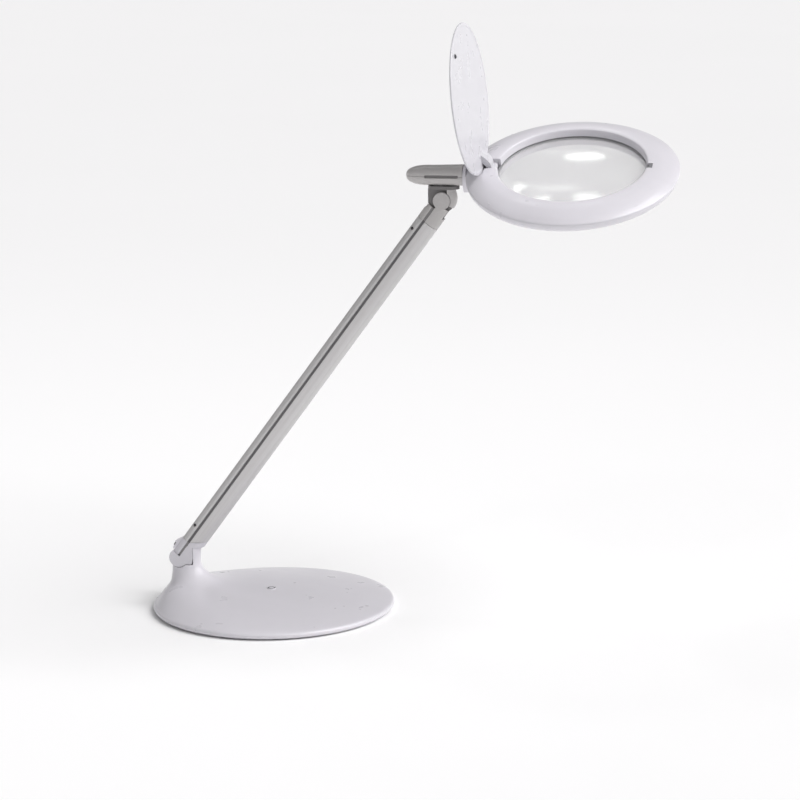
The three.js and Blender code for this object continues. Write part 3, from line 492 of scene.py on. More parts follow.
def base_shell():
    rim = [(104.6, 1.5), (105.3, 1.8), (106.05, 2.8), (106.45, 3.6), (106.6, 4.3), (106.45, 5.0), (106.0, 5.7),
           (105.1, 6.3)]
    rings = [ellipse((0, r, r, z)) for r, z in rim]
    shares = [0.94 * (k / 60) for k in range(61)]
    rings += [ellipse(base_level(share)) for share in shares]
    rings += [ellipse(level) for level in neck_levels(0.94, 45.0)]
    collar = [(-79.25, 13.05, 8.6, 47.5), (-79.15, 13.3, 8.6, 50), (-79, 13.6, 8.6, NECK_TOP)]
    rings += [ellipse(level) for level in collar]

    cavity = [ellipse((0, 101.4, 101.4, -1), 96)]
    for share in (0, 0.06, 0.2, 0.38, 0.56, 0.72, 0.84, 0.92):
        cavity.append(ellipse(base_level(share), 96, BASE_WALL))

    seat = rod("y", LOWER_KNUCKLE + 0.4, -15, 15, sides=96)
    above_seat = block((-35, -15, 0), (STOP_REAR, 15, 20))
    rear_open = block((-35, -15, -7), (0, 15, 20))
    notch = block((5, -15, STOP_NOTCH), (STOP_REAR, 15, 1))
    shell = solid("base_shell", loft(rings), ROW,
                  cut=[loft(cavity)] + [(tool, LOWER_LEVEL) for tool in (seat, above_seat, rear_open, notch)])
    tongue = rod("y", LOWER_TONGUE, -LOWER_HALF_TONGUE, LOWER_HALF_TONGUE, sides=64)
    root = block((-6, -LOWER_HALF_TONGUE, -15.3), (6, LOWER_HALF_TONGUE, -4))
    combine(shell, "UNION", [(tongue, LOWER_LEVEL), (root, LOWER_LEVEL)])
    bore = rod("y", 2.6, -15, 15)
    button_hole = rod("z", BUTTON_RADIUS + GAP, 5, 30, (BUTTON_X, 0), 64)
    inlet = rod("x", INLET_OPENING, -115, -92, (0, INLET_Z))
    return combine(shell, "DIFFERENCE", [(bore, LOWER_LEVEL), button_hole, inlet])


def base_pieces():
    show(base_shell(), "base", white, ["base_cover"], bevel=0.25)

    grooves = []
    for radius in range(92, 10, -6):
        grooves += [(radius, 0.02), (radius - 0.5, 0.45), (radius - 1.0, 0.45), (radius - 1.5, 0.02)]
    rim = [(0, 1.2), (97.3, 1.2), (97.8, 1.05), (98, 0.7), (97.9, 0.3), (97.5, 0.05), (96.9, 0)]
    pad = rim + grooves + [(0, 0)]
    show(build("grip_pad", turned(pad)), "base", rubber, ["base_pad"], bevel=0)

    plate = rounded([(0, 1.5), (100.5, 1.5), (100.5, 2.5), (0, 2.5)], [0, 0.25, 0.25, 0])
    turns = [math.pi / 3 + 2 * math.pi * k / 3 for k in range(3)]
    screws = [(70 * math.cos(t), 70 * math.sin(t)) for t in turns]
    plate_obj = solid("bottom_plate", turned(plate), cut=[rod("z", 2.4, 0, 4, place) for place in screws])
    show(plate_obj, "base", steel, ["base_plate"], bevel=0)

    barrel = rounded([(2.8, -101.5), (3.5, -101.5), (3.5, -95.3), (4.4, -95.3), (4.4, -84.5), (2.8, -84.5)],
                     [0.25, 0.25, 0, 0.3, 0.3, 0])
    body = rounded([(-4.6, 3.0), (4.6, 3.0), (4.6, 11.4), (-4.6, 11.4)], 0.6)
    socket = solid("inlet_barrel", turned([(r, x) for r, x in barrel], "x", (0, INLET_Z), 64), ROW,
                   add=[prism("x", body, -95.6, -89)], cut=[rod("x", 2.8, -103, -90.5, (0, INLET_Z))])
    show(socket, "base", black, ["dc_socket"], bevel=0.2)
    pin = [(0, -99.5), (0.45, -99.45), (0.8, -99.1), (0.9, -98.6), (0.9, -90), (0, -90)]
    show(build("inlet_pin", turned(pin, "x", (0, INLET_Z), 32)), "base", steel, bevel=0)


def button_pieces():
    top = BUTTON_TOP
    cap = [(0, top - 0.12), (1.6, top - 0.08), (3.0, top), (3.7, top), (4.05, top - 0.12), (4.2, top - 0.45),
           (4.2, 12.9), (5.3, 12.9), (5.6, 12.6), (5.6, 11.8), (0, 11.8)]
    show(build("button_cap", turned(cap, centre=(BUTTON_X, 0), sides=96)), "button", white,
         ["power_button"], bevel=0)
    low, high = top - 0.25, top + 0.03
    sweep = arc(3.4, 70, 410, steps=72)
    inner = arc(2.45, 410, 70, steps=72)
    ring = prism("z", [(BUTTON_X + a, b) for a, b in sweep + inner], low, high)
    show(build("power_ring", ring), "button", mark_grey, bevel=0.05)
    bar = rounded([(1.0, 1.15), (1.45, 0.75), (3.1, 2.55), (2.65, 2.95)], 0.2)
    show(build("power_bar", prism("z", [(BUTTON_X + a, b) for a, b in bar], low, high)), "button", mark_grey,
         bevel=0.05)


# ---------------------------------------------------------------- arm
def front_half_width(depth):
    return ARM_HALF_WIDTH * math.sqrt(max(1 - abs(depth / ARM_HALF_DEPTH) ** 2.6, 0))


def front_section(inset=0.0, steps=26):
    low, high = GROOVE_FRONT + inset, ARM_HALF_DEPTH - inset
    side = []
    for k in range(steps):
        depth = low + (high - low) * math.sin(math.pi / 2 * k / steps)
        reach = front_half_width(depth * ARM_HALF_DEPTH / high) * (1 - inset / ARM_HALF_WIDTH)
        side.append((reach, -depth))
    return side + [(0, -high)] + [(-y, z) for y, z in reversed(side)]


def rear_section():
    bend = smooth([(6.45, 5.3), (6.1, 6.6), (5.3, 8.1), (4.4, 9.3), (3.6, 10.0)], 4)
    return mirrored([(5.6, 4.3), (6.2, 4.4), (6.5, 4.75)] + bend)


def rear_bar(low, high):
    return prism("x", rear_section(), low, high)


def groove_web(low, high):
    top = -GROOVE_REAR + 0.5
    bottom = -GROOVE_FRONT + GAP
    edge = [(-GROOVE_HALF, bottom), (GROOVE_HALF, bottom), (GROOVE_HALF, top), (-GROOVE_HALF, top)]
    return prism("x", edge, low, high)


def level_slab(rear_face, low, high):
    return block((rear_face, -20, low), (80, 20, high)), LOWER_LEVEL


CHANNEL_HOLE = [(-3.2, 3.6), (3.2, 3.6), (3.2, 8.4), (-3.2, 8.4)]


def side_holes(along):
    at_screw = (along, SIDE_SCREW_Z)
    return [rod("y", SIDE_SCREW_RADIUS + 0.15, -8, -4.1, at_screw, 32), rod("y", 1.1, -6, 0.4, at_screw, 24)]


def arm_bars():
    hollow = prism("x", front_section(ARM_WALL), -5, CHANNEL_TO + 5)
    tube = solid("front_tube", prism("x", front_section(), 4, CHANNEL_TO), ARM,
                 cut=[hollow, level_slab(-60, -60, STOP_TOP + STOP_COLLAR + 2 * GAP)])
    show(tube, "arm", aluminium, ["arm_front_tube"], bevel=0.2)

    holes = [hole for along in SIDE_SCREWS for hole in side_holes(along)]
    channel = solid("rear_channel", rear_bar(CHANNEL_FROM, CHANNEL_TO), ARM,
                    cut=[prism("x", CHANNEL_HOLE, 0, 400)] + holes)
    show(channel, "arm", aluminium, ["arm_rear_channel"], bevel=0.2)
    web = solid("groove_strip", groove_web(CHANNEL_FROM + 0.1, CHANNEL_TO - 0.1), ARM,
                cut=[prism("x", CHANNEL_HOLE, 0, 400)])
    # painted shade: the strip in the groove is darkened where the groove lies in shadow
    show(web, "arm", groove_shade_dark, bevel=0)


def cross_screw(name, axis, place, head_face, head_depth, radius, shank, shank_to, frame_at, body, material,
                node):
    """A round-headed screw with a cross recess; the head's outer face is at head_face."""
    out = 1 if head_face > shank_to else -1
    base = head_face - out * head_depth
    crown = [(0, head_face), (radius * 0.55, head_face - out * 0.05), (radius * 0.85, head_face - out * 0.25),
             (radius, head_face - out * 0.6), (radius, base)]
    profile = crown + [(shank, base), (shank, shank_to), (0, shank_to)]
    arms = []
    for swing in (0.0, math.pi / 2):
        c, s = math.cos(swing + 0.4), math.sin(swing + 0.4)
        half, reach = 0.22, radius * 0.62
        slot = [(place[0] + c * a - s * b, place[1] + s * a + c * b)
                for a, b in ((-reach, -half), (reach, -half), (reach, half), (-reach, half))]
        arms.append(prism(axis, slot, *sorted((head_face + out, head_face - out * 0.5))))
    screw = solid(name, turned(profile, axis, place, 40), frame_at, cut=arms)
    return show(screw, body, material, [node], bevel=0)


def socket_bolt(name, pivot, low, high, head_from, node):
    """A pivot bolt whose low round head has a hexagon socket, on the far side."""
    head = [(0, high), (2.9, high), (3.4, high - 0.15), (3.6, high - 0.45), (3.6, head_from)]
    shank = [(2.5, head_from), (2.5, low + 0.3), (2.2, low), (0, low)]
    socket = rod("y", 1.75, high - 0.9, high + 1, pivot, 6)
    bolt = solid(name, turned(head + shank, "y", pivot, 48), ARM, cut=[socket])
    show(bolt, "arm", dark_steel, [node], bevel=0)


def washer(name, side, radius, inner, outer, pivot, node):
    low, high = sorted((side * inner, side * outer))
    outline = rounded([(2.8, low), (radius, low), (radius, high), (2.8, high)], 0.12, 3)
    show(build(name, turned(outline, "y", pivot, 64), ARM), "arm", nylon, [node], bevel=0)


def lower_joint():
    half = ARM_HALF_WIDTH - 0.1
    low, near, top = STOP_NOTCH + 0.4, STOP_REAR - GAP, STOP_TOP + 0.08
    front = [(math.sqrt(LOWER_KNUCKLE ** 2 - low ** 2), low), (math.sqrt(STOP_REACH ** 2 - low ** 2), low),
             (12.5, -3.7), (near, -0.6), (near, STOP_TOP + 1.5), (8, STOP_TOP + 1.5), (-2, 8), (0, 0)]
    behind = block((0, -20, SEAM), (80, 20, 40)), ARM
    plates = solid("plates", prism("y", front, -half, half), LOWER_LEVEL, cut=[behind])
    collar = solid("collar", prism("x", front_section(), 4, 40), ARM,
                   keep=[level_slab(-60, top, STOP_TOP + GAP + STOP_COLLAR)])
    fitting = solid("lower_fork", rod("y", LOWER_KNUCKLE, -half, half, LOWER_PIVOT, 96), ARM,
                    cut=[block((CAP_FROM, -20, SEAM), (80, 20, 40))])
    unite(fitting, plates)
    unite(fitting, collar)
    slot = rod("y", LOWER_SLOT, -3.8, 3.8, LOWER_PIVOT, 80)
    bolt_holes = [rod("y", 4.4, 5.4, 12, LOWER_PIVOT), rod("y", 2.8, -5.6, 12, LOWER_PIVOT)]
    combine(fitting, "UNION", [prism("x", front_section(ARM_WALL + GAP), 11, TENON_LOW)])
    combine(fitting, "DIFFERENCE", [
        slot, level_slab(STOP_REAR - GAP, -60, top), rod("x", 2.3, 11, 60, (0, -3)), *bolt_holes])
    show(fitting, "arm", white, ["lower_fitting"], bevel=0.3)

    start, flat = CAP_FROM + GAP, DRAG_SEAT
    ramp = rounded([(CAP_TO, 8), (CAP_TO, 9.9), (DRAG_ALONG + 3.2, 13.8), (DRAG_ALONG + 2.4, 13.8),
                    (DRAG_ALONG + 2.4, flat), (DRAG_ALONG - 2.6, flat), (start, 10.2), (start, 8)],
                   [0, 1.5, 0.8, 0.4, 0, 1.2, 0.8, 0], 4)
    cap = solid("rear_cap", rear_bar(start, CAP_TO), ARM,
                add=[prism("y", ramp, -3.6, 3.6), block((CHANNEL_FROM - 1, -2.9, 3.9), (44, 2.9, 8.1))],
                cut=[slot, rod("z", 1.5, 0, 16, (DRAG_ALONG, 0)), *bolt_holes, *side_holes(SIDE_SCREWS[0])])
    show(cap, "arm", white, ["lower_rear_cap"], bevel=0.5)
    strip = solid("lower_strip", groove_web(start + 0.1, CAP_TO), ARM, cut=[slot, *bolt_holes])
    # painted shade in the groove at the lower joint
    show(strip, "arm", groove_shade_silver, bevel=0)

    cross_screw("drag_screw", "z", (DRAG_ALONG, 0), flat + 1.2, 1.1, 2.0, 1.2, 8.5, ARM, "arm", dark_steel,
                "rear_cap_screw")
    socket_bolt("lower_bolt", LOWER_PIVOT, -5.3, 6.8, 5.7, "lower_pivot_bolt")
    for name, side in (("near", -1), ("far", 1)):
        washer(f"lower_disc_{name}", side, 6.6, 2.9, 3.5, LOWER_PIVOT, f"lower_washer_{name}")


def upper_joint():
    along = UPPER_PIVOT[0]
    slot = rod("y", 16.2, -UPPER_SLOT, UPPER_SLOT, UPPER_PIVOT, 96)
    straight = solid("elbow_bar", prism("x", front_section(), CHANNEL_TO + GAP, along - 4), ARM)
    cheek = rounded([(0, -7.1), (UPPER_KNUCKLE, -7.1), (UPPER_KNUCKLE, 7.1), (0, 7.1)], [0, 0.8, 0.8, 0])
    elbow = solid("elbow", turned(cheek, "y", UPPER_PIVOT, 96), ARM)
    unite(elbow, straight)
    combine(elbow, "UNION", [prism("x", front_section(ARM_WALL + GAP), TENON_HIGH, CHANNEL_TO + 1)])
    combine(elbow, "DIFFERENCE", [
        slot, rod("y", 3.9, 5.6, 12, UPPER_PIVOT), rod("y", 2.8, -5.8, 12, UPPER_PIVOT),
        block((CHANNEL_TO, -20, SEAM), (along - 8.2, 20, 20)), rod("x", 2.3, 340, 398, (0, -3)),
    ])
    show(elbow, "arm", silver, ["upper_elbow"], bevel=0.5)

    cap = solid("elbow_cap", rear_bar(CHANNEL_TO + GAP, along - 9), ARM,
                add=[block((TENON_HIGH + 6, -2.9, 3.9), (CHANNEL_TO + 1, 2.9, 8.1))],
                cut=[slot, *side_holes(SIDE_SCREWS[1])])
    show(cap, "arm", silver, ["elbow_rear_cap"], bevel=0.4)
    web = solid("elbow_strip", groove_web(CHANNEL_TO + GAP + 0.1, along - 9.2), ARM, cut=[slot])
    # painted shade in the groove at the elbow
    show(web, "arm", groove_shade_silver, bevel=0)

    for name, place in (("low", SIDE_SCREWS[0]), ("high", SIDE_SCREWS[1])):
        cross_screw(f"side_screw_{name}", "y", (place, SIDE_SCREW_Z), -5.1, 0.8, SIDE_SCREW_RADIUS, 0.8, 0.0,
                    ARM, "arm", dark_steel, f"channel_screw_{name}")
    socket_bolt("elbow_bolt", UPPER_PIVOT, -5.5, 6.9, 5.9, "elbow_pin")
    for name, side in (("near", -1), ("far", 1)):
        washer(f"elbow_disc_{name}", side, 6.9, 3.5, 4.1, UPPER_PIVOT, f"elbow_washer_{name}")


# ---------------------------------------------------------------- post and link
def post_flange():
    """Half ovals from the flange's lower end up to the nose, cut round the elbow's cheeks."""
    fronts = smooth([(-7.2, 9.4), (-5.2, 10.7), (-2.6, 11.8), (0, 12.4), (2.4, 12.6), (5, 12.2), (8, 11.4),
                     (POST_LOW + 0.4, 11.4)], 5)
    rings = []
    for z, front in fronts:
        turns = [(k / 40 - 0.5) * math.pi for k in range(41)]
        reach = front - FLANGE_REAR
        rings.append([(FLANGE_REAR + reach * math.cos(t), POST_HALF * math.sin(t), z) for t in turns])
    below = block((0, -9, -20), (20, 9, 0)), POST @ Matrix.Rotation(-FLANGE_END, 4, "Y")
    return solid("flange", loft(rings), POST, cut=[rod("y", FLANGE_INNER, -9, 9, sides=96), below])


def post_pieces():
    web = ([(-POST_REAR, POST_LOW + 0.5), (-POST_REAR, -2)] + arc(POST_TONGUE, 205, 326, steps=40)
           + [(10.4, 0), (10.4, POST_LOW + 0.5)])
    front = arc(POST_HALF, -90, 90, (POST_NOSE - POST_HALF, 0), 32)
    side = smooth([(-7.2, POST_HALF), (-10.4, 6.2), (-POST_REAR, 2.4)], 5)
    rear = side + [(x, -y) for x, y in reversed(side)]
    spindle_top = LINK_Z - UPPER_Z + 1.6
    post = solid("post", prism("y", web, -UPPER_TONGUE, UPPER_TONGUE), POST)
    show(post_flange(), "post", silver, bevel=0.4)
    block_top = prism("z", front + rear, POST_LOW, POST_TOP)
    combine(post, "UNION", [block_top, rod("z", 4.6, 11.4, spindle_top, sides=64)])
    combine(post, "DIFFERENCE", [rod("y", 2.7, -9, 9), rod("z", 2.4, 9, spindle_top + 1)])
    # painted shade: the post sits in the link's shadow, so it gets the darker silver
    show(post, "post", silver_painted_shade, ["swivel_post"], bevel=0.5)


def link_skin(inset, low=None, high=LINK_FRONT, sides=96):
    rows = []
    if low is None:
        for k in range(1, 29):
            share = k / 28
            x = LINK_REAR + 19 * (1 - math.cos(share * math.pi / 2)) ** 1.15
            rows.append((x, math.sin(share * math.pi / 2) ** 0.9))
        low = LINK_REAR + 23
    rows += [(low, 1), (high, 1)]
    rings = []
    for x, size in rows:
        rise = LINK_RISE * max(0, (x - low) / (LINK_FRONT - low))
        height = (LINK_HALF_HEIGHT - inset) * size
        section = squircle((LINK_HALF_WIDTH - inset) * size, height, sides, (0, LINK_Z), height + rise)
        rings.append([(x, a, b) for a, b in section])
    return loft(rings)


def seam_slot(inset, radius, lift=0.0):
    """The groove's outline along the seam, or the narrower one of the strip in it."""
    start, end = LINK_GROOVE[0] + inset, LINK_GROOVE[1] - inset
    low, high = LINK_SEAM - LINK_GROOVE_HALF + lift, LINK_SEAM + LINK_GROOVE_HALF - lift
    return rounded([(start, low), (end, low), (end, high), (start, high)], radius)


def link_pieces():
    cavity = link_skin(2.2, 133, 168.3, 48)
    spigot_hole = rod("x", SPIGOT_RADIUS + GAP, 160, 180, (0, LINK_Z))
    pilot = rod("z", 1.4, 370, 390, LINK_SCREW, 32)
    slot = seam_slot(0, 1.2)
    grooves = [prism("y", slot, *sorted((side * (LINK_HALF_WIDTH - 1.0), side * 15))) for side in (-1, 1)]

    upper = solid("link_top", link_skin(0), ROW, keep=[block((100, -20, LINK_SEAM + 0.12), (200, 20, 420))])
    combine(upper, "DIFFERENCE", [cavity, spigot_hole])
    combine(upper, "UNION", [rod("z", 3.3, 380.6, 393, LINK_SCREW)])
    combine(upper, "DIFFERENCE", [pilot] + grooves)
    show(upper, "link", silver, ["link_top_cover"], bevel=0.3)

    below = block((100, -20, 360), (200, 20, LINK_SEAM - 0.12))
    lower = solid("link_bottom", link_skin(0), ROW, keep=[below])
    combine(lower, "DIFFERENCE", [
        cavity, spigot_hole, pilot, rod("z", 2.3, 370, 379.3, LINK_SCREW),
        rod("z", 4.9, 370, 384, (UPPER_X, 0), 64), rod("z", 6.5, 380.1, 390, (UPPER_X, 0)),
        rod("z", 3.6, 380.2, 390, LINK_SCREW),
    ] + grooves)
    show(lower, "link", silver, ["link_bottom_cover"], bevel=0.3)
    strip = seam_slot(0.3, 1, 0.2)
    for side, name in ((-1, "near"), (1, "far")):
        low, high = sorted((side * (LINK_HALF_WIDTH - 1.4), side * (LINK_HALF_WIDTH - 0.8)))
        piece = build(f"link_strip_{name}", prism("y", strip, low, high))
        # painted shade in the link's seam groove
        show(piece, "link", silver_painted_shade, bevel=0)
    cross_screw("link_fastener", "z", LINK_SCREW, 378.3, 0.7, 2.0, 1.1, 388.5, ROW, "link", dark_steel,
                "link_screw")


# ---------------------------------------------------------------- lens head
SCREW_TURNS = [math.radians(t) for t in (45, 135, 225, 315)]
SCREW_CIRCLE = [(HEAD_SCREWS * math.cos(t), HEAD_SCREWS * math.sin(t)) for t in SCREW_TURNS]


def top_shell():
    skin = smooth([(HEAD_RADIUS, 0), (89.45, 0.65), (88.6, 1.35), (85, 3.3), (80, 5.2), (74, 6.9), (68, 7.8),
                   (64.6, 8)], 5)
    rim = smooth([(64.6, 8), (63.4, 7.9), (62.65, 7.45), (62.35, 6.7)], 4)[1:]
    inner = [(62.15, 1.4), (63.9, 1.4), (64.3, 6), (68, 6), (74, 5.1), (80, 3.4), (85, 1.4), (87.6, 0)]
    ribs = []
    for side in (-1, 1):
        low, high = sorted((side * (HINGE_HALF + 0.4), side * (HINGE_HALF + 3)))
        ribs.append(block((-72, low, -1.6), (-64, high, 6.4)))
    window = block((-79, -HINGE_HALF - 0.4, -3), (-55, HINGE_HALF + 0.4, 12))
    recess = block((-78.6, -17, 5.7), (-73.2, 17, 12))
    pocket = block((60, -4, 3), (67.4, 4, 12))
    shell = solid("ring_top", turned(skin + rim + inner, sides=224), HEAD,
                  add=ribs + [rod("z", 2.7, -4.4, 3, place, 32) for place in SCREW_CIRCLE],
                  cut=[window, recess, pocket, rod("y", HINGE_PIN + 0.1, -9.4, 9.4, (HINGE_X, HINGE_Z), 32)]
                  + [rod("z", 1.3, -8, 1, place, 24) for place in SCREW_CIRCLE])
    return show(shell, "head", white, ["head_top_shell"], bevel=0.35)


def collar_sections():
    rows = [(LINK_FRONT + GAP - HEAD_X, 10.5, 11.5, -2.7), (-89, 10.7, 11.5, -2.7), (-85.8, 11.8, 10.3, -2.3),
            (-82.5, 14, 5.8, -0.6)]
    sections = []
    for x, half_width, half_height, shift in smooth(rows, 6):
        outline = squircle(half_width, half_height, 64, (0, shift - HEAD_LIFT))
        sections.append([(x, a, b) for a, b in outline])
    return sections


def bottom_shell():
    curve = smooth([(89.4, -0.3), (89.1, -1.9), (88.4, -3.9), (87, -5.9), (84.6, -8.1), (81.3, -9.6)], 5)
    outline = curve + [(81.3, -3.8), (66.4, -3.8), (66.4, -9.6), (62.5, -9.6), (62.4, -3.3), (64.2, -3.3),
                       (64.2, -2.2), (86.2, -2.2), (87.2, -0.3)]
    axis = (0, -HEAD_LIFT)
    start = SPIGOT_FROM - HEAD_X
    above = rod("z", HEAD_RADIUS + 0.3, -0.1, 20, sides=224)
    collar = solid("collar", loft(collar_sections()), HEAD, cut=[above])
    shell = build("ring_bottom", turned(outline, sides=224), HEAD)
    unite(shell, collar)
    wall = [(81.3, -9.2), (84.4, -8.2), (87, -5.8), (88.6, -2.2), (81.3, -2.2)]
    for place in SCREW_CIRCLE:
        unite(shell, solid("boss", rod("z", 4.4, -8.4, -2.2, place, 40), HEAD, keep=[turned(wall, sides=96)]))
    seats = []
    for place in SCREW_CIRCLE:
        seats += [rod("z", 3, -4.7, 0, place, 32), rod("z", 1.4, -20, 0, place, 24),
                  rod("z", 2.4, -20, -6.4, place, 40)]
    combine(shell, "UNION", [rod("x", SPIGOT_RADIUS, start, -91.4, axis, 48)])
    lead_way = [rod("x", 2.6, start - 5, -83.6, axis, 32), block((-86, -3, -7.5), (-80, 3, -2.5))]
    combine(shell, "DIFFERENCE", lead_way + seats)
    return show(shell, "head", white, ["head_bottom_shell"], bevel=0.3)


def lens_shape():
    steps = 44
    radii = [LENS_RADIUS * math.sin(math.pi / 2 * k / steps) for k in range(steps + 1)]
    bulge = [LENS_RISE * (1 - (r / LENS_RADIUS) ** 2) for r in radii]
    upper = [(r, h) for r, h in zip(radii, bulge)]
    lower = [(r, -LENS_EDGE - h) for r, h in zip(radii, bulge)]
    edge = [(LENS_RADIUS, -0.25), (LENS_RADIUS, -LENS_EDGE + 0.25)]
    upper[-1] = (LENS_RADIUS - 0.2, 0.02)
    lower[-1] = (LENS_RADIUS - 0.2, -LENS_EDGE - 0.02)
    return turned(upper + edge + lower[::-1], sides=160)


def head_pieces():
    top_shell()
    bottom_shell()
    show(build("lens_disc", lens_shape(), HEAD), "head", glass, ["lens"], bevel=0, angle=40)
    gasket = rounded([(62.5, 0.3), (63.8, 0.3), (63.8, 1.1), (62.5, 1.1)], 0.3, 4)
    diffuser = rounded([(66.7, -9.4), (81, -9.4), (81, -8.1), (66.7, -8.1)], 0.35, 4)
    for name, outline, material, slot, node in (
        ("gasket", gasket, seal_grey, "rubber", "lens_gasket"),
        ("diffuser", diffuser, opal, "opal_plastic", "diffuser_ring"),
    ):
        show(build(name, turned(outline, sides=160), HEAD), "head", material, [node], bevel=0)
    for k, place in enumerate(SCREW_CIRCLE):
        cross_screw(f"ring_screw_{k + 1}", "z", place, -7.7, 1.0, 2.1, 1.0, -1.0, HEAD, "head", dark_steel,
                    f"head_screw_{k + 1}")
    r = HINGE_PIN - 0.1
    pin = [(0, -9.1), (r - 0.3, -9.1), (r, -8.8), (r, 8.8), (r - 0.3, 9.1), (0, 9.1)]
    show(build("cover_pin", turned(pin, "y", (HINGE_X, HINGE_Z), 40), HEAD), "head", steel,
         ["hinge_pin"], bevel=0)
    catch = rounded([(62.7, 3.3), (67.1, 3.3), (67.1, 7.5), (64.6, 7.5), (62.7, 6.2)],
                    [0.3, 0.3, 0.5, 0.9, 0.5])
    show(build("catch", prism("y", catch, -3.7, 3.7), HEAD), "head", seal_grey,
         ["cover_catch"], bevel=0.25)


# ---------------------------------------------------------------- cover
def cover_pieces():
    centre = -HINGE_X
    low = 8.0 + GAP - HINGE_Z
    high = low + COVER_THICKNESS
    profile = [(0, low + 0.35), (60.2, low + 0.35), (60.7, low + 0.28), (61.0, low + 0.02), (61.4, low),
               (62.8, low), (63.25, low + 0.2), (COVER_RADIUS, low + 0.6), (COVER_RADIUS, high - 0.7),
               (63.25, high - 0.25), (62.7, high), (0, high)]
    chord = block((-20, -60, low - 5), (centre - COVER_CHORD, 60, low + 10))
    nick = rod("z", 2.2, low - 2, low + 6, (centre + 49.5, 41.6), 40)
    dimple = rod("z", 2.1, low - 1, low + 0.9, (centre + 49.4, -20), 40)
    strap = [(0, 3), (-1.5, -2.5), (0.9, -2.85), (2.4, -1.75), (3, -0.3), (8.2, -0.2), (14, 3),
             (17.5, low + 0.6), (10.5, low + 0.6), (6, 3.9)]
    lid = solid("lens_lid", turned(profile, centre=(centre, 0), sides=192), COVER, cut=[chord, nick, dimple])
    combine(lid, "UNION", [prism("y", rounded(strap, [0, 0.4, 0, 0, 0, 2.5, 2.5, 0, 0, 1.5], 5), -5.5, 5.5),
                           rod("y", 3, -HINGE_HALF, HINGE_HALF)])
    combine(lid, "DIFFERENCE", [rod("y", HINGE_PIN + 0.1, -9, 9)])
    show(lid, "cover", cover_white_shaded, ["lens_cover"], bevel=0.3)
    bumper = [(0, low - 0.9), (0.9, low - 0.85), (1.5, low - 0.6), (1.8, low - 0.1), (1.8, low + 0.7),
              (0, low + 0.7)]
    show(build("bumper", turned(bumper, centre=(centre + 49.4, -20), sides=40), COVER), "cover", mark_grey,
         ["cover_bumper"], bevel=0)


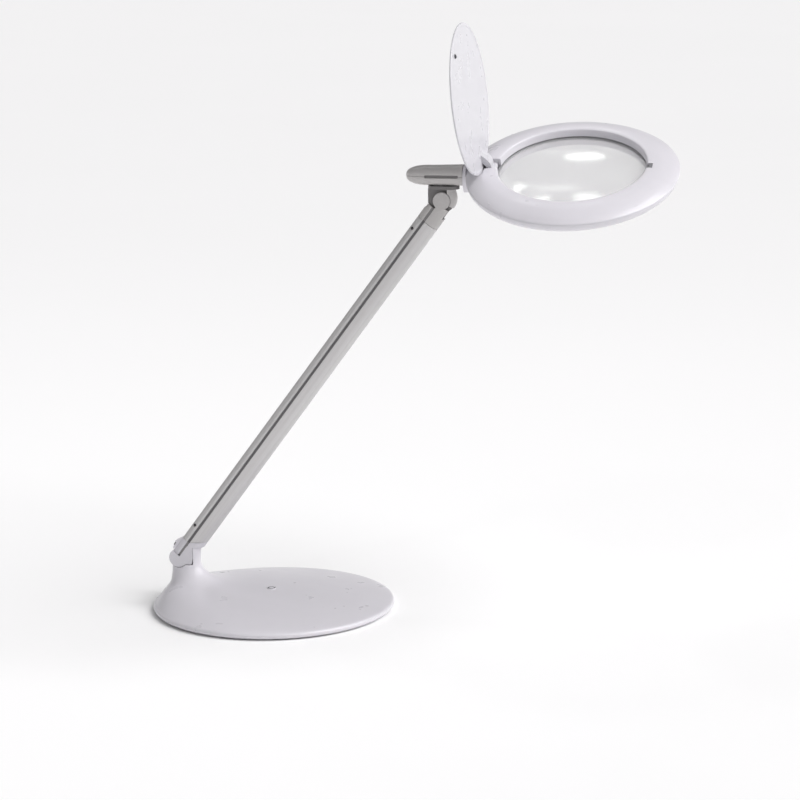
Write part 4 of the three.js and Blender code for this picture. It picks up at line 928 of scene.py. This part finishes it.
# ---------------------------------------------------------------- studio
def studio():
    world = bpy.data.worlds.new("studio")
    world.use_nodes = True
    bpy.context.scene.world = world
    nodes, links = world.node_tree.nodes, world.node_tree.links
    sky = nodes["Background"]
    coordinates = nodes.new("ShaderNodeTexCoord")
    split = nodes.new("ShaderNodeSeparateXYZ")
    links.new(coordinates.outputs["Generated"], split.inputs[0])
    ramp = nodes.new("ShaderNodeMapRange")
    ramp.interpolation_type = "SMOOTHSTEP"
    ramp.inputs["From Min"].default_value = 0.06
    ramp.inputs["From Max"].default_value = 0.28
    ramp.inputs["To Min"].default_value = 0.9
    ramp.inputs["To Max"].default_value = 0.24
    links.new(split.outputs["Z"], ramp.inputs["Value"])
    links.new(ramp.outputs["Result"], sky.inputs["Strength"])
    sky.inputs["Color"].default_value = (1.0, 0.995, 1.0, 1)

    sun = bpy.data.lights.new("key", "SUN")
    sun.energy = 3.1
    sun.angle = math.radians(50)
    sun.color = (1.0, 0.99, 0.995)
    key = bpy.data.objects.new("key", sun)
    bpy.context.scene.collection.objects.link(key)
    towards = Vector((0.70, -0.10, 0.71))
    key.rotation_mode = "QUATERNION"
    key.rotation_quaternion = towards.to_track_quat("Z", "Y")

    for name, place, size, power in (
        ("softbox_left", (-0.55, 0.15, 1.75), 0.16, 1.1),
        ("softbox_right", (0.95, 0.35, 1.75), 0.18, 0.6),
        ("softbox_front", (0.15, -1.1, 1.5), 0.14, 0.8),
        ("window_low_left", (-0.219, 0.671, 1.517), 0.16, 0.3),
        ("window_left", (-0.094, 0.503, 1.646), 0.16, 0.3),
        ("window_low_right", (0.177, 0.540, 1.678), 0.16, 0.3),
        ("window_high_right", (0.105, 1.011, 1.346), 0.16, 0.3),
    ):
        panel = bpy.data.lights.new(name, "AREA")
        panel.shape = "ELLIPSE"
        panel.size, panel.size_y = size, size * 0.6
        panel.energy = power
        lamp = bpy.data.objects.new(name, panel)
        bpy.context.scene.collection.objects.link(lamp)
        lamp.location = place
        lamp.rotation_mode = "QUATERNION"
        lamp.rotation_quaternion = (Vector(place) - Vector((0.2, 0, 0.38))).to_track_quat("Z", "Y")

    half = 60000
    floor = build("floor", prism("z", [(-half, -half), (half, -half), (half, half), (-half, half)], -40, 0))
    floor.data.materials.append(surface("floor_white", (0.96, 0.96, 0.962), 0.75, tone=0.004, tone_scale=1.5,
                                        grain=0.01, grain_scale=200, specular=0.1))


def camera():
    azimuth, elevation, roll = math.radians(12.15), math.radians(12.19), math.radians(0.77)
    target, distance = Vector((0.11655, 0, 0.19056)), 2.395
    level = math.cos(elevation)
    back = Vector((math.sin(azimuth) * level, -math.cos(azimuth) * level, math.sin(elevation)))
    level_right = Vector((math.cos(azimuth), math.sin(azimuth), 0))
    level_up = back.cross(level_right)
    right = level_right * math.cos(roll) - level_up * math.sin(roll)
    up = level_right * math.sin(roll) + level_up * math.cos(roll)
    lens = bpy.data.cameras.new("camera")
    lens.sensor_width = 36
    lens.lens = 124.83
    eye = bpy.data.objects.new("camera", lens)
    bpy.context.scene.collection.objects.link(eye)
    turn = Matrix((right, up, back)).transposed().to_4x4()
    eye.matrix_world = Matrix.Translation(target + back * distance) @ turn
    bpy.context.scene.camera = eye


# ---------------------------------------------------------------- assembly
camera()
studio()
bpy.context.scene.view_settings.view_transform = "Standard"

base_pieces()
button_pieces()
arm_bars()
lower_joint()
upper_joint()
post_pieces()
link_pieces()
head_pieces()
cover_pieces()

paint(iron, "cast_iron", "base_weight")
paint(dark_steel, "dark_steel", "base_screw_1", "base_screw_2", "base_screw_3")
paint(board_green, "circuit_board", "switch_board", "led_board")
paint(rubber, "rubber", "button_dome", "arm_cable")
paint(steel, "steel", "swivel_nut", "twist_retainer")
paint(nylon, "nylon", "swivel_washer")
